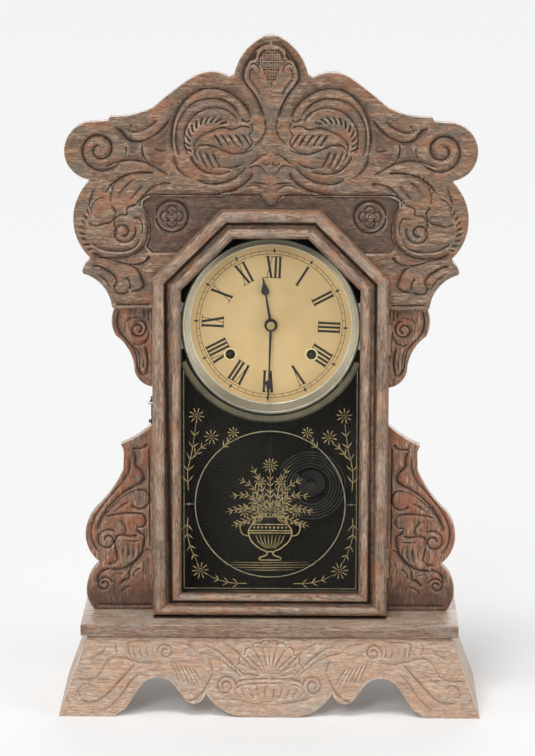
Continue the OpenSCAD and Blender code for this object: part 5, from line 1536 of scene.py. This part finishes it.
@dataclass
class Board:
    """A sawn or moulded board with softened, worn edges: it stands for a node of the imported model."""

    node: str
    finish: Finish
    body: str = "case"
    slot: str = "oak"
    edge: float = 0.9
    tones: PointTones | None = None

    def build(self) -> Piece:
        """Builds the board in place of its node.

        Returns:
            The new object.
        """
        bm = bmesh.new()
        bm.from_mesh(frame["nodes"][self.node].data)
        bmesh.ops.remove_doubles(bm, verts=bm.verts, dist=2e-6)
        bmesh.ops.dissolve_limit(bm, angle_limit=math.radians(0.5), verts=bm.verts, edges=bm.edges)
        sharp = [e for e in bm.edges if e.is_manifold and e.calc_face_angle(0.0) > CREASE]
        bmesh.ops.bevel(bm, geom=sharp, offset=self.edge * MM, segments=2, profile=0.6, affect="EDGES",
                        clamp_overlap=True)
        bmesh.ops.triangulate(bm, faces=[f for f in bm.faces if len(f.verts) > 4])
        bend = np.zeros(len(bm.verts))
        for v in bm.verts:
            turns = [e.calc_face_angle_signed(0.0) for e in v.link_edges if e.is_manifold]
            bend[v.index] = max(turns, key=abs, default=0.0)
        for face in bm.faces:
            face.smooth = True
        for e in bm.edges:
            e.smooth = e.calc_face_angle(0.0) < SMOOTH
        # Convex edges are lightened as wear and painted highlight, concave edges darkened as dirt and
        # painted shade.
        ridge, hollow, dip = (np.clip(side * bend * 3.5 - 1.6, 0, 1) for side in (1, -1, 0))
        if self.tones:
            ridge, hollow, dip = self.tones(np.array([v.co for v in bm.verts]) / MM)
        mesh = bpy.data.meshes.new(f"{self.node}_dressed")
        bm.to_mesh(mesh)
        bm.free()
        for name, values in (("ridge", ridge), ("hollow", hollow), ("dip", dip)):
            mesh.attributes.new(name, "FLOAT", "POINT").data.foreach_set("value", values.astype(np.float32))
        mesh.materials.clear()
        mesh.materials.append(self.finish.material())
        piece = bpy.data.objects.new(f"{self.node}_dressed", mesh)
        bpy.context.scene.collection.objects.link(piece)
        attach(piece, self.body)
        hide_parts(self.node)
        LOG.info("%s: %d faces on %s", piece.name, len(mesh.polygons), self.body)
        return piece


CASE_BOARDS: dict[str, Finish] = {
    "case_side_left": CASE_OAK, "case_side_right": CASE_OAK,
    "base_side_left": LIT_BASE_SIDE_OAK, "base_side_right": LIT_BASE_SIDE_OAK}
DOOR_BOARDS: dict[str, Finish] = {
    "door_stile_left": DOOR_UPRIGHT, "door_stile_right": DOOR_UPRIGHT, "door_rail_top": DOOR_ACROSS,
    "door_rail_bottom": DOOR_ACROSS, "door_mitre_left": DOOR_RISING, "door_mitre_right": DOOR_FALLING}


@dataclass
class Joinery:
    """The plain boards of the case and base, and the door's mouldings."""

    inner_edge: float = 0.5
    door_edge: float = 0.45

    def build(self) -> None:
        """Builds each board in place of its node."""
        for node, finish in CASE_BOARDS.items():
            Board(node, finish).build()
        Board("base_shelf", SHELF_OAK, tones=shelf_edge_tone).build()
        Board("base_blocks", LIT_BASE_SIDE_OAK, slot="oak_inside").build()
        Board("backboard", BACK_OAK, slot="oak_inside", edge=self.inner_edge, tones=back_dark_inside).build()
        Board("case_top", OAK_CREST, slot="oak_inside", edge=self.inner_edge).build()
        Board("dial_blocks", LIT_BLOCK_OAK, slot="oak_inside", edge=self.inner_edge).build()
        for node, finish in DOOR_BOARDS.items():
            Board(node, finish, "door", edge=self.door_edge, tones=door_dirt_and_shade).build()


# Dial


LETTER_WIDTH = {"I": 3.5, "V": 6.6, "X": 7.0}


@dataclass
class Dial:
    """The printed dial: Roman numerals, minute track and five-minute marks."""

    centre: Point = (0.0, DIAL_Z)
    turn: float = -2.6
    foot: float = 40.0
    head: float = 58.8
    stem: float = 2.05
    hair: float = 0.55
    serif: float = 0.6
    track: tuple[float, float] = (60.6, 63.4)
    mark: tuple[float, float] = (61.8, 65.2)
    letters: tuple[str, ...] = ("XII", "I", "II", "III", "IIII", "V", "VI", "VII", "VIII", "IX", "X", "XI")

    def build(self) -> None:
        """Prints the dial's numerals and tracks on the paper."""
        ink, brown = FlatWork(), FlatWork()
        for hour, word in enumerate(self.letters):
            self._numeral(ink, word, 90 + self.turn - 30 * hour)
        for radius in self.track:
            brown.line(arc(self.centre, radius, 0, 360, 120)[:-1], 0.5, closed=True)
        for minute in range(60):
            angle = 90 + self.turn - 6 * minute
            if minute % 5:
                brown.line([spot(self.centre, radius, angle) for radius in self.track], 0.45)
            else:
                ink.line([spot(self.centre, radius, angle) for radius in self.mark], 1.5)
        ink.make("dial_numerals", PAPER_FRONT - 0.06, 0.05, INK, "case", "blacking")
        brown.make("dial_minute_track", PAPER_FRONT - 0.05, 0.04, BROWN_INK, "case", "blacking")
        self._ring("dial_crimp", 68.6, 0.45, PAPER_FRONT - 0.35, BRIGHT_RIM)
        self._ring("dial_bead_plate", BEAD_RING, 1.72, BEAD_Y, SHADED_RIM_PLATE)

    def _ring(self, name: str, radius: float, roll: float, middle: float, finish: Finish) -> None:
        """Makes a rolled ring round the dial.

        Args:
            name: The piece's name.
            radius: Radius of the ring.
            roll: Radius of its roll.
            middle: Y of the roll's middle.
            finish: The finish.
        """
        around, sides = 144, 14
        points = []
        for i in range(around):
            for k in range(sides):
                out, forward = spot((radius, middle), roll, 360 * k / sides)
                x, z = spot(self.centre, out, 360 * i / around)
                points.append((x, forward, z))
        faces = [(i * sides + k, i * sides + (k + 1) % sides, (i + 1) % around * sides + (k + 1) % sides,
                  (i + 1) % around * sides + k) for i in range(around) for k in range(sides)]
        make_piece(name, points, faces, finish, "case", True)

    def _numeral(self, work: FlatWork, word: str, angle: float) -> None:
        """Draws one numeral, its head outwards.

        Args:
            work: Where the shapes go.
            word: The numeral.
            angle: Its direction from the dial's centre, in degrees.
        """
        whole = sum(LETTER_WIDTH[letter] for letter in word)
        across, out = math.radians(angle - 90), math.radians(angle)

        def put(u: float, v: float) -> Point:
            """Turns a place across and out into a place on the dial."""
            return (self.centre[0] + u * math.cos(across) + v * math.cos(out),
                    self.centre[1] + u * math.sin(across) + v * math.sin(out))

        def stroke(u0: float, v0: float, u1: float, v1: float, w: float) -> None:
            """Draws a stroke that is cut level at both ends."""
            work.area([put(u0 - w / 2, v0), put(u0 + w / 2, v0), put(u1 + w / 2, v1), put(u1 - w / 2, v1)])

        low, high, u = self.foot, self.head, -whole / 2
        for letter in word:
            w = LETTER_WIDTH[letter]
            middle = u + w / 2
            if letter == "I":
                stroke(middle, low, middle, high, self.stem)
                self._serifs(work, put, [(middle, low), (middle, high)], 1.75)
            elif letter == "V":
                stroke(u + 1.5, high, middle + 0.3, low, self.stem * 1.05)
                stroke(u + w - 1.2, high, middle + 0.3, low, self.hair)
                self._serifs(work, put, [(u + 1.5, high), (u + w - 1.2, high)], 1.7)
            else:
                stroke(u + 1.5, high, u + w - 1.5, low, self.stem * 1.05)
                stroke(u + w - 1.4, high, u + 1.4, low, self.hair)
                ends = [(u + 1.5, high), (u + w - 1.4, high), (u + w - 1.5, low), (u + 1.4, low)]
                self._serifs(work, put, ends, 1.7)
            u += w

    def _serifs(self, work: FlatWork, put: Callable[[float, float], Point], ends: Sequence[Point],
                half: float) -> None:
        """Draws the fine serifs of a letter.

        Args:
            work: The print that takes the strokes.
            put: Places a point of the letter on the dial.
            ends: Ends of the letter's strokes.
            half: Half the length of a serif.
        """
        for u, v in ends:
            top = v if v < (self.foot + self.head) / 2 else v - self.serif
            work.area([put(u - half, top), put(u + half, top), put(u + half, top + self.serif),
                       put(u - half, top + self.serif)])


# Pattern on the glass


@dataclass
class GlassPattern:
    """Gilt lines on the back of the pane: a border, a roundel with an urn of daisies, and corner sprigs."""

    centre: Point = (0.0, 174.0)
    roundel: float = 63.7
    border_x: float = 73.3
    border_low: float = 100.2
    band_centre: Point = (0.0, DIAL_Z + 3.4)
    band_middle: float = 79.4
    band_edge: float = 82.4
    back: float = PANE_BACK + 0.03
    thick: float = 0.05

    def build(self) -> None:
        """Draws the pattern as thin gilt pieces on the door."""
        lines = FlatWork()
        self._border(lines)
        lines.make("glass_border", self.back, self.thick, LINE_GILT, "door", "brass")
        sprigs = FlatWork()
        for side in (-1, 1):
            self._corner_sprigs(sprigs, side)
        sprigs.make("glass_sprigs", self.back, self.thick, GILT, "door", "brass")
        urn = FlatWork()
        self._urn(urn)
        self._bouquet(urn)
        urn.make("glass_urn_of_daisies", self.back, self.thick, GILT, "door", "brass")
        # The wide olive band is partly gilt on the glass and partly painted shade of the dial bead's rolled
        # edge; the fine line is gilt.
        band = FlatWork()
        for radius, width in ((self.band_middle, 4.4), (self.band_edge, 0.5)):
            band.line(arc(self.band_centre, radius, 203, 337, 90), width)
        band.make("glass_dial_band", self.back, self.thick, OLIVE_GILT_AND_SHADE, "door", "brass")

    def _border(self, work: FlatWork) -> None:
        """Draws the border line, the roundel and a fine line under the dial.

        Args:
            work: The gilding that takes the strokes.
        """
        top = self.band_centre[1] - math.sqrt(self.band_edge ** 2 - self.border_x ** 2)
        for a, b in (((-self.border_x, top), (-self.border_x, self.border_low)),
                     ((-self.border_x, self.border_low), (self.border_x, self.border_low)),
                     ((self.border_x, self.border_low), (self.border_x, top))):
            work.line([a, b], 0.55)
        work.line(arc(self.centre, self.roundel, 0, 360, 120)[:-1], 0.85, closed=True)
        for side in (-1, 1):
            work.line([(side * 65.0, 174.0), (side * 73.0, 174.0)], 0.5)
            work.disc((side * 69.0, 174.0), 1.3, 4)

    def _daisy(self, work: FlatWork, at: Point, radius: float, petals: int, turn: float = 0.0) -> None:
        """Draws a daisy with slender petals round an open eye.

        Args:
            work: Where the shapes go.
            at: Its centre.
            radius: Radius to the petals' tips.
            petals: Number of petals.
            turn: Angle of the first petal, in degrees.
        """
        for k in range(petals):
            a = turn + 360 * k / petals
            work.line([spot(at, radius * reach, a) for reach in (0.34, 0.75, 1.0)], 0.75, (0.35, 0.75))
        work.line(arc(at, radius * 0.2, 0, 360, 8)[:-1], 0.35, closed=True)

    def _leaf(self, work: FlatWork, at: Point, angle: float, length: float, width: float = 0.9) -> None:
        """Draws a slender leaf from its root."""
        work.line([at, spot(at, length * 0.5, angle), spot(at, length, angle)], width, (0.3, 0.15))

    def _spray(self, work: FlatWork, path: Sequence[Point], leaves: int, length: float) -> None:
        """Draws a stem with leaves in pairs.

        Args:
            work: Where the shapes go.
            path: Stops of the stem.
            leaves: Number of pairs.
            length: Length of the leaves.
        """
        stem = flow(path, 1.5)
        work.line([tuple(p) for p in stem], 0.55, (1.0, 0.5))
        for k in range(leaves):
            i = int((k + 0.8) / (leaves + 0.6) * (len(stem) - 2))
            step = stem[i + 1] - stem[i]
            a = math.degrees(math.atan2(step[1], step[0]))
            for turn in (42, -42):
                self._leaf(work, tuple(stem[i]), a + turn, length * (1 - 0.35 * k / leaves))

    def _corner_sprigs(self, work: FlatWork, side: int) -> None:
        """Draws the sprigs of one side's corners.

        Args:
            work: Where the shapes go.
            side: 1 for the right, -1 for the left.
        """
        def to(points: Sequence[Point]) -> list[Point]:
            """Mirrors points to the side."""
            return [(side * x, z) for x, z in points]

        self._daisy(work, (side * 62.5, 251.0), 6.6, 9, 10 * side)
        self._daisy(work, (side * 50.0, 232.5), 6.4, 9, 25 * side)
        self._daisy(work, (side * 31.5, 236.5), 4.8, 8)
        self._spray(work, to([(69.5, 186), (70, 203), (66, 222), (63, 244)]), 5, 8.0)
        self._spray(work, to([(66, 214), (60, 222), (53, 227)]), 2, 6.0)
        self._spray(work, to([(42, 222), (37, 227), (33, 232)]), 2, 5.5)
        self._daisy(work, (side * 59.5, 116.0), 7.2, 10, 5)
        self._spray(work, to([(70, 162), (70.5, 148), (67, 134), (62, 123)]), 4, 7.0)
        self._spray(work, to([(20, 104.5), (33, 105), (45, 108), (53, 112)]), 3, 6.5)

    def _urn(self, work: FlatWork) -> None:
        """Draws a footed urn with flutes, bands and two handles.

        Args:
            work: The gilding that takes the strokes.
        """
        x0, low = self.centre[0], self.centre[1] - 49.0
        right = flow([(8.5, 0), (9, 2.2), (3.4, 4.5), (3.0, 7.5), (9, 10.5), (16, 17), (18.5, 25),
                      (15.5, 31), (12.5, 34.5), (15.5, 38)], 0.9)
        for side in (-1, 1):
            work.line([(x0 + side * u, low + v) for u, v in right], 1.0)
            work.line([(x0 + side * u, low + v) for u, v in flow(
                [(17.6, 21), (23.5, 23), (25.5, 29), (22, 33.5), (17, 32)], 1.0)], 0.8)
            for k in range(4):
                lean = side * (1.2 + 2.4 * k)
                flute = [(x0 + lean * out, low + up) for out, up in ((0.45, 10.5), (1.15, 16), (1.45, 22))]
                work.line(flute, 0.7, (0.4, 0.4))
        for height, half in ((0.2, 9.0), (24.0, 18.2), (26.0, 18.0), (31.5, 15.0), (38.0, 16.0), (7.5, 3.4)):
            work.line([(x0 - half, low + height), (x0 + half, low + height)], 0.8)
        for k in range(9):
            work.disc((x0 - 13.6 + 3.4 * k, low + 28.8), 1.0, 6)
        for k, half in enumerate((33.0, 38.0, 30.0, 21.0)):
            work.line([(x0 - half, low - 1.8 - 2.2 * k), (x0 - half * 0.2, low - 2.2 - 2.2 * k),
                       (x0 + half, low - 1.6 - 2.2 * k)], 0.55, (0.3, 0.3))

    def _bouquet(self, work: FlatWork) -> None:
        """Draws daisies, buds and fern fronds that rise from the urn.

        Args:
            work: The gilding that takes the strokes.
        """
        x0, lip = self.centre[0], self.centre[1] - 11.0
        for side in (-1, 1):
            for tip, bend in (((34, 18), 9), ((38, 4), 6), ((27, 33), 8), ((16, 45), 5), ((33, -8), 2)):
                path = [(x0 + side * 3, lip), (x0 + side * tip[0] * 0.5, lip + tip[1] * 0.5 + bend),
                        (x0 + side * tip[0], lip + tip[1])]
                self._spray(work, path, 7, 6.5)
            self._daisy(work, (x0 + side * 11.5, lip + 13), 7.0, 11, 8 * side)
            self._daisy(work, (x0 + side * 22, lip + 5.5), 5.6, 10, 20)
            self._daisy(work, (x0 + side * 8.5, lip + 30.5), 5.0, 9, 12)
        self._daisy(work, (x0, lip + 6.0), 6.4, 11, 4)
        self._daisy(work, (x0, lip + 45.0), 6.4, 11)
        self._spray(work, [(x0, lip), (x0, lip + 22), (x0, lip + 39)], 6, 6.0)


# Movement and small parts


OWN_FINISH: dict[str, Finish] = {
    "gong_coil": GONG_WIRE, "winding_grommets": BRIGHT_BRASS, "time_arbor": SMOKED_STEEL,
    "strike_arbor": SMOKED_STEEL, "pendulum_rod": SMOKED_STEEL, "pendulum_bob": SMOKED_STEEL,
    "hammer": SMOKED_STEEL, "hand_washer": BRASS}


class Works:
    """Gong, pendulum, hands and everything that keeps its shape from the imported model."""

    def build(self) -> None:
        """Gives every node that is still shown the finish of its slot, or its own."""
        slots = {row["node"]: row["material_slot"] for row in frame["record"]["subparts"]}
        for name, node in frame["nodes"].items():
            if node.hide_render:
                continue
            finish = OWN_FINISH.get(name, SLOT_FINISH[slots[name]])
            if not node.material_slots:
                node.data.materials.append(finish.material())
            for place in node.material_slots:
                place.material = finish.material()
            LOG.info("%s: finished as %s", name, finish.name)


# Studio


@dataclass
class Camera:
    """The photograph's camera, worked out from the object's straight edges."""

    focal_px: float = 3600.0
    frame_px: float = 756.0
    tilt: float = 11.524
    yaw: float = -0.7251
    roll: float = 0.12
    place: Triple = (35.20, -2999.29, 890.84)
    sensor: float = 36.0

    def build(self) -> None:
        """Adds the camera and makes it the scene's."""
        tilt, yaw, roll = (math.radians(a) for a in (self.tilt, self.yaw, self.roll))
        look = Vector((math.sin(yaw) * math.cos(tilt), math.cos(yaw) * math.cos(tilt), -math.sin(tilt)))
        side = Vector((math.cos(yaw), -math.sin(yaw), 0.0))
        up = side.cross(look)
        right = math.cos(roll) * side + math.sin(roll) * up
        top = -math.sin(roll) * side + math.cos(roll) * up
        data = bpy.data.cameras.new("camera")
        data.sensor_fit = "VERTICAL"
        data.sensor_height = self.sensor
        data.lens = self.focal_px * self.sensor / self.frame_px
        data.clip_start, data.clip_end = 0.05, 60.0
        camera = bpy.data.objects.new("camera", data)
        turn = Matrix((right, top, -look)).transposed().to_4x4()
        turn.translation = Vector(self.place) * MM
        camera.matrix_world = turn
        bpy.context.scene.collection.objects.link(camera)
        bpy.context.scene.camera = camera


@dataclass
class Studio:
    """A pale sweep, a bright surround and soft lamps."""

    world_light: float = 0.42
    aim: Triple = (0.0, -0.05, 0.28)
    half_width: float = 5.0
    near_edge: float = -5.0
    foot_of_wall: float = 8.0
    bend: float = 1.5
    height: float = 6.0
    lamps: tuple[tuple[str, Triple, float, float], ...] = (
        ("front", (-0.9, -3.0, 2.1), 1.1, 40.0),
        ("overhead", (-0.4, -0.7, 2.5), 1.0, 30.0),
        ("left", (-2.2, -0.9, 0.9), 1.1, 9.0),
        ("right", (2.2, -1.1, 0.9), 1.1, 17.0),
        ("behind", (0.2, 1.9, 0.7), 1.6, 20.0),
    )

    def build(self) -> None:
        """Adds the sweep, the lamps and the world."""
        self._sweep()
        for name, at, size, power in self.lamps:
            data = bpy.data.lights.new(name, "AREA")
            data.shape = "SQUARE"
            data.size = size
            data.energy = power
            lamp = bpy.data.objects.new(name, data)
            lamp.location = at
            lamp.rotation_euler = (Vector(self.aim) - Vector(at)).to_track_quat("-Z", "Y").to_euler()
            bpy.context.scene.collection.objects.link(lamp)
        self._surround()

    def _sweep(self) -> None:
        """Adds the floor, which curves up into the backdrop."""
        profile = [(self.near_edge, 0.0), (self.foot_of_wall, 0.0)]
        profile += [(self.foot_of_wall + self.bend * math.sin(a), self.bend - self.bend * math.cos(a))
                    for a in np.linspace(0.15, math.pi / 2, 12)]
        profile.append((self.foot_of_wall + self.bend, self.height))
        points = [(x, y, z - 0.05 * MM) for y, z in profile for x in (-self.half_width, self.half_width)]
        faces = [(2 * i, 2 * i + 1, 2 * i + 3, 2 * i + 2) for i in range(len(profile) - 1)]
        mesh = bpy.data.meshes.new("sweep")
        mesh.from_pydata(points, [], faces)
        mesh.shade_smooth()
        mesh.materials.append(Backdrop("sweep_paper").material())
        sweep = bpy.data.objects.new("sweep", mesh)
        bpy.context.scene.collection.objects.link(sweep)

    def _surround(self) -> None:
        """Sets the world: an even light, and white where the camera, gloss or glass sees it."""
        world = bpy.data.worlds.new("surround")
        bpy.context.scene.world = world
        world.use_nodes = True
        nodes, links = world.node_tree.nodes, world.node_tree.links
        nodes.clear()
        light, white = nodes.new("ShaderNodeBackground"), nodes.new("ShaderNodeBackground")
        light.inputs["Color"].default_value = (1.0, 0.99, 0.98, 1.0)
        light.inputs["Strength"].default_value = self.world_light
        white.inputs["Color"].default_value = (0.92, 0.92, 0.92, 1.0)
        white.inputs["Strength"].default_value = 1.0
        mixed, out = nodes.new("ShaderNodeMixShader"), nodes.new("ShaderNodeOutputWorld")
        links.new(background_share(world.node_tree), mixed.inputs[0])
        links.new(light.outputs[0], mixed.inputs[1])
        links.new(white.outputs[0], mixed.inputs[2])
        links.new(mixed.outputs[0], out.inputs[0])


def main() -> None:
    """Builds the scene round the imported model."""
    logging.basicConfig(level=logging.INFO, format="%(name)s: %(message)s")
    bpy.context.scene.view_settings.view_transform = "Standard"
    Camera().build()
    Studio().build()
    Carving().build()
    Joinery().build()
    Dial().build()
    GlassPattern().build()
    Works().build()
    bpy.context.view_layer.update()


if __name__ == "__main__":
    main()
